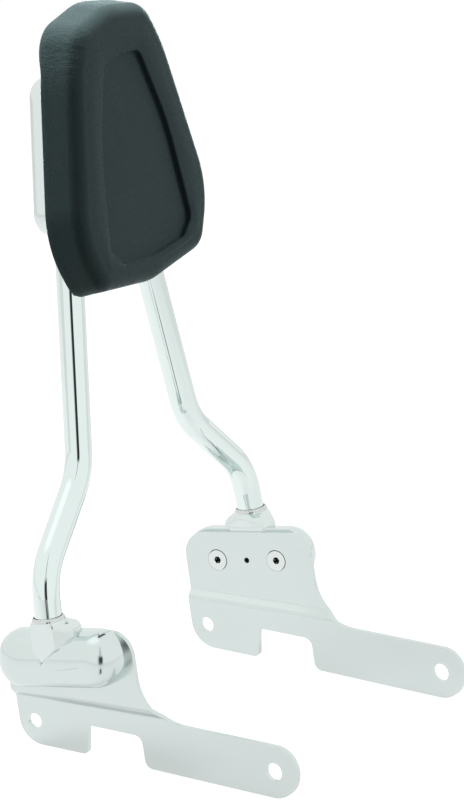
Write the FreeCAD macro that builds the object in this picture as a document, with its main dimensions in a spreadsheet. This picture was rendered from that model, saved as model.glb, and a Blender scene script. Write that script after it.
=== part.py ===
import FreeCAD, Part
import math
import os
import re
import Sketcher

# Motorcycle sissy bar: a bent hoop with a backrest pad, standing on two side plates.
# X is lateral with the rider's right at -X, forward is -Y, up is +Z, in millimetres.
# The origin lies midway between the two rear mounting holes.
# The hoop and its feet share a frame that leans back by lean_angle: its own X is lateral,
# its Y runs backward and its Z runs up along the hoop, from the plates' top edge.
# The pad, its board, brackets, bolts and back cover share a second frame on the hoop's axis,
# pad_hang below the hoop's top, which leans back by pad_lean.

doc = FreeCAD.newDocument("sissy_bar")
sheet = doc.addObject("Spreadsheet::Sheet", "Sizes")

SIZES = (
    # Side plates
    ("plate_thick", 4, "sheet of the side plates"),
    ("plates_apart", 234, "between the inner faces below the joggle"),
    ("joggle_step", 5.2, "outward step of the upper part"),
    ("joggle_height", 21.6, "middle of the step above the rear hole"),
    ("joggle_rise", 2.2, "slope of the step towards the front, degrees"),
    ("joggle_slant", 45, "slant of the step's ramp, degrees"),
    ("joggle_bend", 1.5, "inside radius of the two bends"),
    ("hole_spacing", 200, "rear hole to front hole"),
    ("rear_hole_width", 11.5, "rear mounting hole"),
    ("front_hole_width", 13.5, "front mounting hole"),
    ("arm_half_depth", 19.5, "arm edge above and below the front hole"),
    ("arm_end_round", 18.8, "corners of the arm's end"),
    ("arm_back_drop", 17.6, "arm's lower edge beside the notch"),
    ("arm_sweep_radius", 37, "hollow between arm and upper part"),
    ("heel_drop", 17, "lower edge below the rear hole"),
    ("heel_round", 20, "rear lower corner"),
    ("notch_back", 45.2, "rear side of the notch"),
    ("notch_front", 90, "front side of the notch at its top"),
    ("notch_flare", 4, "how far the front side leans forward"),
    ("notch_top", 5.5, "top of the notch above the holes"),
    ("notch_small_round", 4, "rear corners of the notch"),
    ("notch_large_round", 7, "front corners of the notch"),
    ("plate_front", 55.5, "front edge from the foot's centre"),
    ("plate_rear", 53, "rear edge from the foot's centre"),
    ("plate_corner_round", 18.5, "upper corners"),
    # Lean of the upright
    ("lean_angle", 9.5, "lean of the hoop, degrees"),
    ("foot_forward", 28, "foot's centre before the rear hole"),
    ("foot_height", 76.15, "foot's centre above the rear hole"),
    # Hoop
    ("tube_width", 20, "outside of the tube"),
    ("tube_wall", 2, "wall of the tube"),
    ("hoop_back", 1.5, "tube's axis behind the foot's centre"),
    ("foot_outset", 23, "tube's axis outside the plate's inner face, on top of the lug"),
    ("foot_splay", 5.4, "lean of the foot of the tube, degrees"),
    ("lower_bend_height", 45.4, "lower bend above the plate"),
    ("upper_bend_height", 101.9, "upper bend above the plate"),
    ("upper_bend_reach", 74.1, "upper bend from the middle"),
    ("leg_slant", 10.3, "slant of the legs above the bends, degrees"),
    ("bend_radius", 45, "lower and upper bends"),
    ("arch_radius", 31, "top of the hoop"),
    ("foot_trim", 5, "length cut off the foot to seat it"),
    # Foot lugs
    ("lug_height", 12, "lug above the plate's top edge"),
    ("lug_side_height", 2.5, "upright part of the lug's sides"),
    ("lug_half_width", 17, "half of the lug, front to back"),
    ("lug_back", 0.8, "lug's middle behind the foot's centre"),
    ("lug_depth", 22, "lug from the plate's outer face"),
    ("lug_inner_round", 3, "upright corners beside the plate"),
    ("lug_outer_round", 14, "upright corners of its round outer side"),
    ("lug_seat_rim", 0.6, "rim of the lug's top round the tube"),
    ("lug_seat_flat", 1, "flat of that rim on each side"),
    ("tongue_thick", 10, "tongue behind the cover"),
    ("tongue_half_width", 40, "half of the tongue, front to back"),
    ("tongue_top_drop", 3.5, "tongue's top below the plate's top edge"),
    ("tongue_drop", 34, "tongue's lower edge below the plate's top edge"),
    ("tongue_round", 12, "corners of the tongue"),
    ("bead_width", 1.4, "width of the weld bead"),
    ("bead_height", 2.6, "height of the weld bead"),
    ("bead_shoulder", 1.5, "height at which the bead turns in"),
    ("bead_crest", 0.3, "how far it has turned in there"),
    ("tube_gap", 0.3, "gap round the curved tube"),
    # Foot screws
    ("screw_spacing", 51.2, "front screw to rear screw"),
    ("screw_drop", 21.6, "screws below the plate's top edge"),
    ("screw_width", 8, "shank"),
    ("screw_head_width", 16, "countersunk head"),
    ("screw_head_depth", 4, "depth of the head's cone"),
    ("screw_head_land", 0.4, "upright rim of the head"),
    ("screw_length", 15.5, "whole length"),
    ("screw_socket_width", 5, "hexagon across flats"),
    ("screw_socket_depth", 2.6, "depth of the hexagon"),
    ("screw_gap", 0.15, "gap round screws"),
    # Foot covers
    ("cover_half_length", 51.5, "half of the cover, front to back"),
    ("cover_rise", 3, "cover's deck above the plate's top edge"),
    ("cover_drop", 39, "cover's lower edge below the plate's top edge"),
    ("cover_depth", 24.8, "cover from the plate's outer face"),
    ("cover_straight", 5, "depth of its upright rim"),
    ("cover_corner_round", 19, "rounding of its ends seen from the side"),
    ("cover_upper_turn", 19, "height over which its deck turns down"),
    ("cover_lower_turn", 10, "height over which its underside turns up"),
    ("cover_end_turn", 13, "length over which its ends turn in"),
    ("cover_crown_round", 6, "corners of the crown"),
    ("cover_wall", 2.5, "wall of the cover"),
    ("cover_lug_gap", 0.4, "gap between cover and lug"),
    ("cover_boss_width", 10, "boss for the cover's screw"),
    ("cover_screw_width", 4, "cover's screw"),
    ("cover_screw_sink", 1, "screw's end below the plate's inner face"),
    ("cover_screw_length", 20, "length of the cover's screw"),
    ("cover_screw_socket_width", 2, "hexagon across flats"),
    ("cover_screw_socket_depth", 2, "depth of the hexagon"),
    # Pad
    ("pad_lean", 11, "lean of the pad, degrees"),
    ("pad_hang", 37.2, "middle of the pad's frame below the hoop's top"),
    ("pad_setting", 1.3, "gap between tube and pad at that height"),
    ("pad_thick", 29.3, "cushion, back to front"),
    ("pad_draft", 8.5, "how its side turns in towards the front, degrees"),
    ("pad_rise", 91, "top corners of the pad"),
    ("pad_top_bow", 9, "how much higher its top is in the middle"),
    ("pad_bow_round", 60, "rounding of the top's middle"),
    ("pad_top_half_width", 48, "corner of the top"),
    ("pad_top_round", 26, "rounding of the top corners"),
    ("pad_shoulder_rise", 60, "where the sides change their slant"),
    ("pad_shoulder_half_width", 64, "half width there"),
    ("pad_shoulder_share", 0.48, "share of the upper side that its rounding takes"),
    ("pad_hip_drop", 58, "where the sides turn in"),
    ("pad_hip_half_width", 92.7, "half width there"),
    ("pad_hip_share", 0.545, "share of the lower side that its rounding takes"),
    ("pad_drop", 101, "bottom corners of the pad"),
    ("pad_bottom_bow", 8.5, "how much lower its bottom is in the middle"),
    ("pad_bottom_half_width", 70, "corner of the bottom"),
    ("pad_bottom_round", 22, "rounding of the bottom corners"),
    ("pad_front_round", 12, "front edge"),
    ("pad_back_round", 1.5, "back edge"),
    ("crest_back", 4.5, "how much further back the cushion stands above the cover"),
    ("crest_rise", 57, "lower edge of that crest"),
    ("crest_slope", 20, "height over which the crest's back slopes out"),
    ("crest_draft", 12, "how its sides turn in towards the back, degrees"),
    ("panel_depth", 3.8, "sunk panel in the front"),
    ("panel_rise", 57, "top of the panel"),
    ("panel_drop", 84, "bottom of the panel"),
    ("panel_top_half_width", 25.6, "corner of its top"),
    ("panel_hip_half_width", 52.3, "its widest place"),
    ("panel_hip_drop", 72, "its widest place below the middle"),
    ("panel_bottom_half_width", 39.1, "corner of its bottom"),
    ("panel_top_round", 9, "rounding of its top corners"),
    ("panel_round", 5, "rounding of its lower corners"),
    # Pad board, brackets and bolts
    ("board_thick", 5, "board let into the cushion's back"),
    ("board_gap", 0.3, "gap between board and cushion"),
    ("board_rise", 72, "top of the board"),
    ("board_drop", 82, "bottom of the board"),
    ("board_top_half_width", 42, "corner of its top"),
    ("board_bottom_half_width", 68, "corner of its bottom"),
    ("board_round", 18, "rounding of its corners"),
    ("bracket_thick", 4.5, "cross brackets between the legs"),
    ("bracket_half_height", 9, "half height of a bracket"),
    ("upper_bracket_drop", 2, "upper bracket below the middle"),
    ("lower_bracket_drop", 42, "lower bracket below the middle"),
    ("bolt_width", 6, "pad bolts"),
    ("bolt_head_width", 11, "head of a pad bolt"),
    ("bolt_head_height", 3.2, "height of its head"),
    ("bolt_head_round", 2, "rounding of its head"),
    ("bolt_grip", 8, "bolt's length inside the board's boss"),
    ("bolt_socket_width", 4, "hexagon across flats"),
    ("bolt_socket_depth", 2, "depth of the hexagon"),
    ("boss_width", 13, "bosses round the pad bolts"),
    # Back cover
    ("dish_tube_gap", 3, "gap between tube and cover at the middle"),
    ("dish_wall", 2, "its wall"),
    ("dish_rise", 53, "top of the cover"),
    ("dish_drop", 58, "bottom of the cover"),
    ("dish_top_half_width", 45, "corner of its top"),
    ("dish_bottom_half_width", 72, "corner of its bottom"),
    ("dish_corner_round", 16, "rounding of its corners"),
    ("dish_edge_round", 8, "rounding of its back edge"),
    ("dish_leg_gap", 1, "gap between its slots and the legs"),
    ("dish_slot_flat", 2.2, "flat at the back of a slot"),
)

for row, (alias, value, note) in enumerate(SIZES, start=1):
    sheet.set("A%d" % row, alias)
    sheet.set("B%d" % row, str(value))
    sheet.set("C%d" % row, note)
    sheet.setAlias("B%d" % row, alias)
doc.recompute()

ALIASES = {alias for alias, value, note in SIZES}
ZERO = "0"
RIGHT = -1
LEFT = 1
SIDES = (("right", RIGHT), ("left", LEFT))

# Places that several pieces share, in the leaning frame unless said otherwise
PLATE_INNER = "(plates_apart/2 + joggle_step)"
PLATE_OUTER = "(plates_apart/2 + joggle_step + plate_thick)"
LUG_OUTER = "(plates_apart/2 + joggle_step + plate_thick + lug_depth)"
FOOT_REACH = "(plates_apart/2 + foot_outset)"
APEX_HEIGHT = "(upper_bend_height + upper_bend_reach/tan(leg_slant))"
ARCH_DROP = "(arch_radius/sin(leg_slant) - arch_radius)"
PAD_HEIGHT = "(%s - %s - pad_hang)" % (APEX_HEIGHT, ARCH_DROP)

# Places in the pad's frame, forward of the hoop's axis
PAD_BACK = "(tube_width/2 + pad_setting)"
PAD_FRONT = "(tube_width/2 + pad_setting + pad_thick)"
BRACKET_FRONT = "(bracket_thick/2)"
DISH_BACK = "(tube_width/2 + dish_tube_gap + dish_wall)"

# THROUGH cuts through a small piece from its middle, SHEET_LENGTH is longer than any piece
THROUGH = "(4*plate_thick + 4*lug_depth)"
SHEET_LENGTH = "(3*hole_spacing)"

# Angles from the rim at which the cover's domed face is drawn, in degrees
COVER_TURNS = (0, 25, 45, 62, 75)

# Drops of the two brackets, which bosses and bolts line up with
BRACKET_DROPS = ("upper_bracket_drop", "lower_bracket_drop")


def cells(text):
    """Expression text with the sheet's name before each alias."""
    def full(match):
        word = match.group(0)
        return "Sizes." + word if word in ALIASES else word
    return re.sub(r"[a-z][a-z_]*", full, text)


def bind(thing, path, text):
    """Bind one property to an expression in the sheet's aliases."""
    thing.setExpression(path, cells(text))


def number(text):
    """Present value of an expression in the sheet's aliases."""
    return float(sheet.evalExpression(cells(text).replace("Sizes.", "")))


def plate_y(forward, height):
    """Y in the main frame of a place in the leaning frame."""
    return "(-foot_forward - (%s)*cos(lean_angle) + (%s)*sin(lean_angle))" % (forward, height)


def plate_z(forward, height):
    """Z in the main frame of a place in the leaning frame."""
    return "(foot_height + (%s)*sin(lean_angle) + (%s)*cos(lean_angle))" % (forward, height)


def leg_x(rise):
    """X of the left leg's axis at a height in the pad's frame."""
    return "(upper_bend_reach - (%s + (%s) - upper_bend_height)*tan(leg_slant))" % (PAD_HEIGHT, rise)


def new_body(label):
    body = doc.addObject("PartDesign::Body", label)
    body.Label = label
    return body


def placed_body(label, y, z, lean):
    """Body in a frame that leans back about X."""
    body = new_body(label)
    body.Placement = FreeCAD.Placement(FreeCAD.Vector(), FreeCAD.Rotation(FreeCAD.Vector(-1, 0, 0), 1))
    bind(body, "Placement.Base.y", y)
    bind(body, "Placement.Base.z", z)
    bind(body, "Placement.Rotation.Angle", lean)
    return body


def leaning_body(label):
    """Body in the frame of the hoop."""
    return placed_body(label, "-foot_forward", "foot_height", "lean_angle")


def pad_body(label):
    """Body in the frame of the pad."""
    y = plate_y("-hoop_back", PAD_HEIGHT)
    z = plate_z("-hoop_back", PAD_HEIGHT)
    return placed_body(label, y, z, "pad_lean")


def new_sketch(body, name, role, across=ZERO, along=ZERO, out=ZERO):
    """Sketch on one of the body's origin planes, moved in and off that plane."""
    sketch = body.newObject("Sketcher::SketchObject", body.Label + "_" + name)
    planes = [item for item in body.Origin.OriginFeatures if item.Role == role]
    sketch.AttachmentSupport = [(planes[0], "")]
    sketch.MapMode = "FlatFace"
    for axis, text in (("x", across), ("y", along), ("z", out)):
        if text != ZERO:
            bind(sketch, "AttachmentOffset.Base." + axis, text)
    doc.recompute()
    return sketch


def pin(sketch, geometry, position, x_text, y_text):
    """Hold a point of the sketch at two expressions."""
    for kind, axis, text in (("DistanceX", -2, x_text), ("DistanceY", -1, y_text)):
        if text == ZERO:
            sketch.addConstraint(Sketcher.Constraint("PointOnObject", geometry, position, axis))
            continue
        rule = Sketcher.Constraint(kind, -1, 1, geometry, position, number(text))
        place = sketch.addConstraint(rule)
        bind(sketch, "Constraints[%d]" % place, text)


def circle(sketch, x_text, y_text, width):
    """Circle of a bound width round a bound centre."""
    centre = FreeCAD.Vector(number(x_text), number(y_text), 0)
    ring = Part.Circle(centre, FreeCAD.Vector(0, 0, 1), number(width) / 2)
    geometry = sketch.addGeometry(ring, False)
    pin(sketch, geometry, 3, x_text, y_text)
    place = sketch.addConstraint(Sketcher.Constraint("Diameter", geometry, number(width)))
    bind(sketch, "Constraints[%d]" % place, width)


def outline(sketch, corners, closed=True):
    """Outline through bound corners (x, y, radius); a radius of None leaves a corner sharp."""
    count = len(corners)
    points = [FreeCAD.Vector(number(x), number(y), 0) for x, y, radius in corners]
    arrive = []
    leave = []
    centres = []
    for i, (x, y, radius) in enumerate(corners):
        point = points[i]
        end = not closed and i in (0, count - 1)
        if radius is None or end:
            arrive.append(point)
            leave.append(point)
            centres.append(None)
            continue
        back = (points[i - 1] - point).normalize()
        ahead = (points[(i + 1) % count] - point).normalize()
        half = back.getAngle(ahead) / 2
        arrive.append(point + back * (number(radius) / math.tan(half)))
        leave.append(point + ahead * (number(radius) / math.tan(half)))
        centres.append(point + (back + ahead).normalize() * (number(radius) / math.sin(half)))

    marks = []
    for i, (x, y, radius) in enumerate(corners):
        mark = sketch.addGeometry(Part.Point(points[i]), True)
        pin(sketch, mark, 1, x, y)
        marks.append(mark)
    lines = []
    runs = count if closed else count - 1
    for i in range(runs):
        lines.append(sketch.addGeometry(Part.LineSegment(leave[i], arrive[(i + 1) % count]), False))
    for i in range(runs):
        for corner, position in ((i, 1), ((i + 1) % count, 2)):
            if centres[corner] is None:
                rule = Sketcher.Constraint("Coincident", marks[corner], 1, lines[i], position)
            else:
                rule = Sketcher.Constraint("PointOnObject", marks[corner], 1, lines[i])
            sketch.addConstraint(rule)
    for i, centre in enumerate(centres):
        if centre is None:
            continue
        start = math.atan2(arrive[i].y - centre.y, arrive[i].x - centre.x)
        stop = math.atan2(leave[i].y - centre.y, leave[i].x - centre.x)
        first, last = 1, 2
        if (stop - start) % (2 * math.pi) > math.pi:
            start, stop = stop, start
            first, last = 2, 1
        radius = number(corners[i][2])
        ring = Part.Circle(centre, FreeCAD.Vector(0, 0, 1), radius)
        arc = sketch.addGeometry(Part.ArcOfCircle(ring, start, stop), False)
        sketch.addConstraint(Sketcher.Constraint("Tangent", lines[i - 1], 2, arc, first))
        sketch.addConstraint(Sketcher.Constraint("Tangent", arc, last, lines[i], 1))
        place = sketch.addConstraint(Sketcher.Constraint("Radius", arc, radius))
        bind(sketch, "Constraints[%d]" % place, corners[i][2])


def polygon(sketch, x_text, y_text, across_flats):
    """Hexagon of a bound width round a bound centre."""
    corner = "(%s)/2/cos(30)" % across_flats
    spots = []
    for turn in range(0, 360, 60):
        x = "%s + %s*cos(%d)" % (x_text, corner, turn)
        y = "%s + %s*sin(%d)" % (y_text, corner, turn)
        spots.append((x, y, None))
    outline(sketch, spots)


def mirrored(half):
    """Closed outline from the corners of its +X half, listed from top to bottom."""
    other = [("-(%s)" % x, y, radius) for x, y, radius in reversed(half)]
    return half + other


def feature(body, kind, name, profile=None):
    item = body.newObject("PartDesign::" + kind, body.Label + "_" + name)
    if profile is not None:
        item.Profile = profile
    return item


def pad(body, name, sketch, length, midplane=False, reverse=False):
    item = feature(body, "Pad", name, sketch)
    item.Midplane = midplane
    item.Reversed = reverse
    bind(item, "Length", length)
    doc.recompute()
    return item


def pocket(body, name, sketch, length, midplane=False, reverse=False):
    item = feature(body, "Pocket", name, sketch)
    item.Midplane = midplane
    item.Reversed = reverse
    bind(item, "Length", length)
    doc.recompute()
    return item


def turned(body, kind, name, sketch, axis="H_Axis"):
    """Full turn of a sketch about one of its own axes."""
    item = feature(body, kind, name, sketch)
    item.ReferenceAxis = (sketch, [axis])
    item.Angle = 360
    doc.recompute()
    return item


def loft(body, kind, name, sketches, ruled=False):
    item = feature(body, kind, name, sketches[0])
    item.Sections = sketches[1:]
    item.Ruled = ruled
    doc.recompute()
    return item


def edges_of(shape, wanted):
    """Names of the edges of a shape that pass a test."""
    return ["Edge%d" % i for i, edge in enumerate(shape.Edges, start=1) if wanted(edge)]


def rounded(body, name, base, names, radius):
    item = feature(body, "Fillet", name)
    item.Base = (base, names)
    bind(item, "Radius", radius)
    doc.recompute()
    return item


def level(edge, axis, value):
    """Whether an edge lies in the plane where one coordinate has a value."""
    box = edge.BoundBox
    low = getattr(box, axis + "Min")
    high = getattr(box, axis + "Max")
    return abs(low - value) < 0.01 and abs(high - value) < 0.01


# Side plates

def side_plate(label, side):
    """Sheet plate with a joggle, cut to its outline and drilled."""
    body = new_body(label)
    out = "%d*" % side
    ramp = "(joggle_step/tan(joggle_slant))"
    shift = "(plate_thick*tan(joggle_slant/2))"
    outer_bend = "(joggle_bend + plate_thick)"
    low_in = out + "(plates_apart/2)"
    low_out = out + "(plates_apart/2 + plate_thick)"
    high_in = out + PLATE_INNER
    high_out = out + PLATE_OUTER
    reach = "(hole_spacing + foot_height)"
    section = new_sketch(body, "section", "XZ_Plane", along="joggle_height")
    section.AttachmentOffset = FreeCAD.Placement(
        section.AttachmentOffset.Base, FreeCAD.Rotation(FreeCAD.Vector(-1, 0, 0), 1))
    bind(section, "AttachmentOffset.Rotation.Angle", "joggle_rise")
    doc.recompute()
    outline(section, [
        (low_in, "-" + reach, None),
        (low_out, "-" + reach, None),
        (low_out, "-%s/2 - %s/2" % (ramp, shift), "joggle_bend"),
        (high_out, "%s/2 - %s/2" % (ramp, shift), outer_bend),
        (high_out, reach, None),
        (high_in, reach, None),
        (high_in, "%s/2 + %s/2" % (ramp, shift), "joggle_bend"),
        (low_in, "-%s/2 + %s/2" % (ramp, shift), outer_bend),
    ])
    pad(body, "sheet", section, SHEET_LENGTH, midplane=True)

    shape = new_sketch(body, "shape", "YZ_Plane", out=out + "(plates_apart/2)")
    far = "(2*hole_spacing)"
    outline(shape, [
        ("-" + far, "-" + far, None),
        (far, "-" + far, None),
        (far, far, None),
        ("-" + far, far, None),
    ])
    rear = "(-plate_rear)"
    heel_height = "((-heel_drop - foot_height + plate_rear*sin(lean_angle))/cos(lean_angle))"
    sweep_height = "((arm_half_depth - foot_height - plate_front*sin(lean_angle))/cos(lean_angle))"
    arm_front = "(-hole_spacing - arm_half_depth)"
    outline(shape, [
        (plate_y(rear, ZERO), plate_z(rear, ZERO), "plate_corner_round"),
        (plate_y("plate_front", ZERO), plate_z("plate_front", ZERO), "plate_corner_round"),
        (plate_y("plate_front", sweep_height), "arm_half_depth", "arm_sweep_radius"),
        (arm_front, "arm_half_depth", "arm_end_round"),
        (arm_front, "-arm_half_depth", "arm_end_round"),
        ("-notch_front - notch_flare", "-arm_back_drop", "notch_large_round"),
        ("-notch_front", "notch_top", "notch_large_round"),
        ("-notch_back", "notch_top", "notch_small_round"),
        ("-notch_back", "-heel_drop", "notch_small_round"),
        (plate_y(rear, heel_height), "-heel_drop", "heel_round"),
    ])
    pocket(body, "outline", shape, THROUGH, midplane=True)

    holes = new_sketch(body, "holes", "YZ_Plane", out=out + "(plates_apart/2)")
    circle(holes, ZERO, ZERO, "rear_hole_width")
    circle(holes, "-hole_spacing", ZERO, "front_hole_width")
    circle(holes, plate_y(ZERO, "-screw_drop"), plate_z(ZERO, "-screw_drop"),
           "(cover_screw_width + 2*screw_gap)")
    pocket(body, "drilling", holes, THROUGH, midplane=True)

    for name, forward in (("front", "screw_spacing/2"), ("rear", "-screw_spacing/2")):
        sink = new_sketch(body, name + "_sink", "XY_Plane",
                          along=plate_y(forward, "-screw_drop"),
                          out=plate_z(forward, "-screw_drop"))
        outline(sink, screw_profile(out, "screw_gap", "plate_thick"))
        turned(body, "Groove", name + "_countersink", sink)
    return body


def screw_profile(out, gap, length):
    """Half section of a countersunk screw, or of its hole with a gap round it."""
    cone_end = "(%s + screw_head_depth)" % PLATE_INNER
    return [
        (out + PLATE_INNER, ZERO, None),
        (out + PLATE_INNER, "(screw_head_width/2 + %s)" % gap, None),
        ("%s(%s + screw_head_land)" % (out, PLATE_INNER), "(screw_head_width/2 + %s)" % gap, None),
        (out + cone_end, "(screw_width/2 + %s)" % gap, None),
        ("%s(%s + %s + plate_thick)" % (out, PLATE_INNER, length),
         "(screw_width/2 + %s)" % gap, None),
        ("%s(%s + %s + plate_thick)" % (out, PLATE_INNER, length), ZERO, None),
    ]


# Foot lugs, welds and screws

def lug_section(body, name, out, height, inner, outer, forward, half, inner_round, outer_round):
    """Level section of the lug with two corners beside the plate and two outer ones."""
    sketch = new_sketch(body, name, "XY_Plane", along="-(%s)" % forward, out=height)
    outline(sketch, [
        (out + inner, "-(%s)" % half, inner_round),
        (out + outer, "-(%s)" % half, outer_round),
        (out + outer, half, outer_round),
        (out + inner, half, inner_round),
    ])
    return sketch


def foot_lug(label, side):
    """Lug that tapers up to the tube, with a tongue bolted to the plate's outer face."""
    body = leaning_body(label)
    out = "%d*" % side
    shape = [PLATE_OUTER, LUG_OUTER, "-lug_back", "lug_half_width", "lug_inner_round", "lug_outer_round"]
    base = lug_section(body, "base", out, "-tongue_thick", *shape)
    pad(body, "block", base, "(tongue_thick + lug_side_height)")
    shoulder = lug_section(body, "shoulder", out, "lug_side_height", *shape)
    rim = "(tube_width/2 + lug_seat_rim)"
    rim_round = "(%s - lug_seat_flat/2)" % rim
    shape = ["(%s - %s)" % (FOOT_REACH, rim), "(%s + %s)" % (FOOT_REACH, rim), "-hoop_back", rim,
             rim_round, rim_round]
    seat = lug_section(body, "seat", out, "lug_height", *shape)
    loft(body, "AdditiveLoft", "taper", [shoulder, seat], ruled=True)

    tongue = new_sketch(body, "tongue_profile", "YZ_Plane", out=out + PLATE_OUTER)
    outline(tongue, [
        ("-tongue_half_width", "-tongue_top_drop", "tongue_round"),
        ("tongue_half_width", "-tongue_top_drop", "tongue_round"),
        ("tongue_half_width", "-tongue_drop", "tongue_round"),
        ("-tongue_half_width", "-tongue_drop", "tongue_round"),
    ])
    pad(body, "tongue", tongue, "tongue_thick", reverse=side < 0)

    holes = new_sketch(body, "hole_circles", "YZ_Plane", out=out + PLATE_OUTER)
    circle(holes, "screw_spacing/2", "-screw_drop", "(screw_width + 2*screw_gap)")
    circle(holes, "-screw_spacing/2", "-screw_drop", "(screw_width + 2*screw_gap)")
    circle(holes, ZERO, "-screw_drop", "(cover_screw_width + 2*screw_gap)")
    pocket(body, "holes", holes, THROUGH, midplane=True)
    return body


def foot_weld(label, side):
    """Bead round the foot of the tube, on top of the lug."""
    body = leaning_body(label)
    inner = "(tube_width/2 + 2*tube_gap)"
    bead = new_sketch(body, "bead_profile", "XZ_Plane", across="%d*%s" % (side, FOOT_REACH), out="-hoop_back")
    outline(bead, [
        (inner, "lug_height", None),
        ("(%s + bead_width)" % inner, "lug_height", None),
        ("(%s + bead_width - bead_crest)" % inner, "(lug_height + bead_shoulder)", "bead_width/2"),
        (inner, "(lug_height + bead_height)", None),
    ])
    turned(body, "Revolution", "bead", bead, axis="V_Axis")
    return body


def foot_screw(label, side, forward):
    """Countersunk screw with a hexagon socket, along X."""
    body = leaning_body(label)
    out = "%d*" % side
    profile = new_sketch(body, "profile", "XZ_Plane", along="-screw_drop", out=forward)
    outline(profile, screw_profile(out, ZERO, "(screw_length - plate_thick)"))
    turned(body, "Revolution", "shank", profile)
    socket = new_sketch(body, "socket_profile", "YZ_Plane", out=out + PLATE_INNER)
    polygon(socket, "(-(%s))" % forward, "(-screw_drop)", "screw_socket_width")
    pocket(body, "socket", socket, "2*screw_socket_depth", midplane=True)
    return body


# Foot covers

def cover_section(body, name, out, turn, depth, wall):
    """Rounded section of the cover where its face has turned by an angle from the rim."""
    drawn = "(1 - cos(%d))" % turn
    sketch = new_sketch(body, name, "YZ_Plane", out="%s(%s + %s)" % (out, PLATE_OUTER, depth))
    half = "(cover_half_length - cover_end_turn*%s - %s)" % (drawn, wall)
    top = "(cover_rise - cover_upper_turn*%s - %s)" % (drawn, wall)
    bottom = "(-cover_drop + cover_lower_turn*%s + %s)" % (drawn, wall)
    radius = "(cover_corner_round - (cover_corner_round - cover_crown_round)*%s - %s)" % (drawn, wall)
    outline(sketch, [
        ("-" + half, top, radius),
        (half, top, radius),
        (half, bottom, radius),
        ("-" + half, bottom, radius),
    ])
    return sketch


def cover_sections(body, name, out, wall):
    """Sections from the rim to the crown, following a quarter of an ellipse."""
    sections = [cover_section(body, name + "_rim", out, 0, ZERO, wall)]
    for turn in COVER_TURNS:
        depth = "(cover_straight + (cover_depth - cover_straight - %s)*sin(%d)/sin(%d))" % (
            wall, turn, COVER_TURNS[-1])
        sections.append(cover_section(body, "%s_turn_%d" % (name, turn), out, turn, depth, wall))
    return sections


def foot_cover(label, side):
    """Hollow domed cover over the tongue, cut out round the lug, with a screw boss."""
    body = leaning_body(label)
    out = "%d*" % side
    loft(body, "AdditiveLoft", "dome", cover_sections(body, "outer", out, ZERO))
    loft(body, "SubtractiveLoft", "hollow", cover_sections(body, "inner", out, "cover_wall"))

    cut = new_sketch(body, "lug_cut_profile", "XY_Plane", along="lug_back", out="cover_rise")
    half = "(lug_half_width + cover_lug_gap)"
    inner = out + "(%s - plate_thick)" % PLATE_OUTER
    outer = out + "(%s + cover_lug_gap)" % LUG_OUTER
    radius = "(lug_outer_round + cover_lug_gap)"
    outline(cut, [
        (inner, "-" + half, None),
        (outer, "-" + half, radius),
        (outer, half, radius),
        (inner, half, None),
    ])
    pocket(body, "lug_cut", cut, "2*(tongue_thick + cover_lug_gap + cover_rise)", midplane=True)

    boss = new_sketch(body, "boss_circle", "YZ_Plane",
                      out=out + "(%s + tongue_thick + screw_gap)" % PLATE_OUTER)
    circle(boss, ZERO, "-screw_drop", "cover_boss_width")
    pad(body, "boss", boss, "(cover_depth - tongue_thick - cover_wall/2)", reverse=side < 0)
    bore = new_sketch(body, "bore_circle", "YZ_Plane", out=out + PLATE_OUTER)
    circle(bore, ZERO, "-screw_drop", "(cover_screw_width + 2*screw_gap)")
    pocket(body, "bore", bore, "(cover_screw_length - plate_thick)", reverse=side > 0)
    return body


def cover_screw(label, side):
    """Headless screw through the plate and the tongue into the cover's boss."""
    body = leaning_body(label)
    out = "%d*" % side
    end = new_sketch(body, "end_circle", "YZ_Plane", out=out + "(%s + cover_screw_sink)" % PLATE_INNER)
    circle(end, ZERO, "-screw_drop", "cover_screw_width")
    pad(body, "shank", end, "(cover_screw_length - 2*cover_screw_sink)", reverse=side < 0)
    socket = new_sketch(body, "socket_profile", "YZ_Plane",
                        out=out + "(%s + cover_screw_sink)" % PLATE_INNER)
    polygon(socket, ZERO, "(-screw_drop)", "cover_screw_socket_width")
    pocket(body, "socket", socket, "2*cover_screw_socket_depth", midplane=True)
    return body


# Hoop

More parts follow.
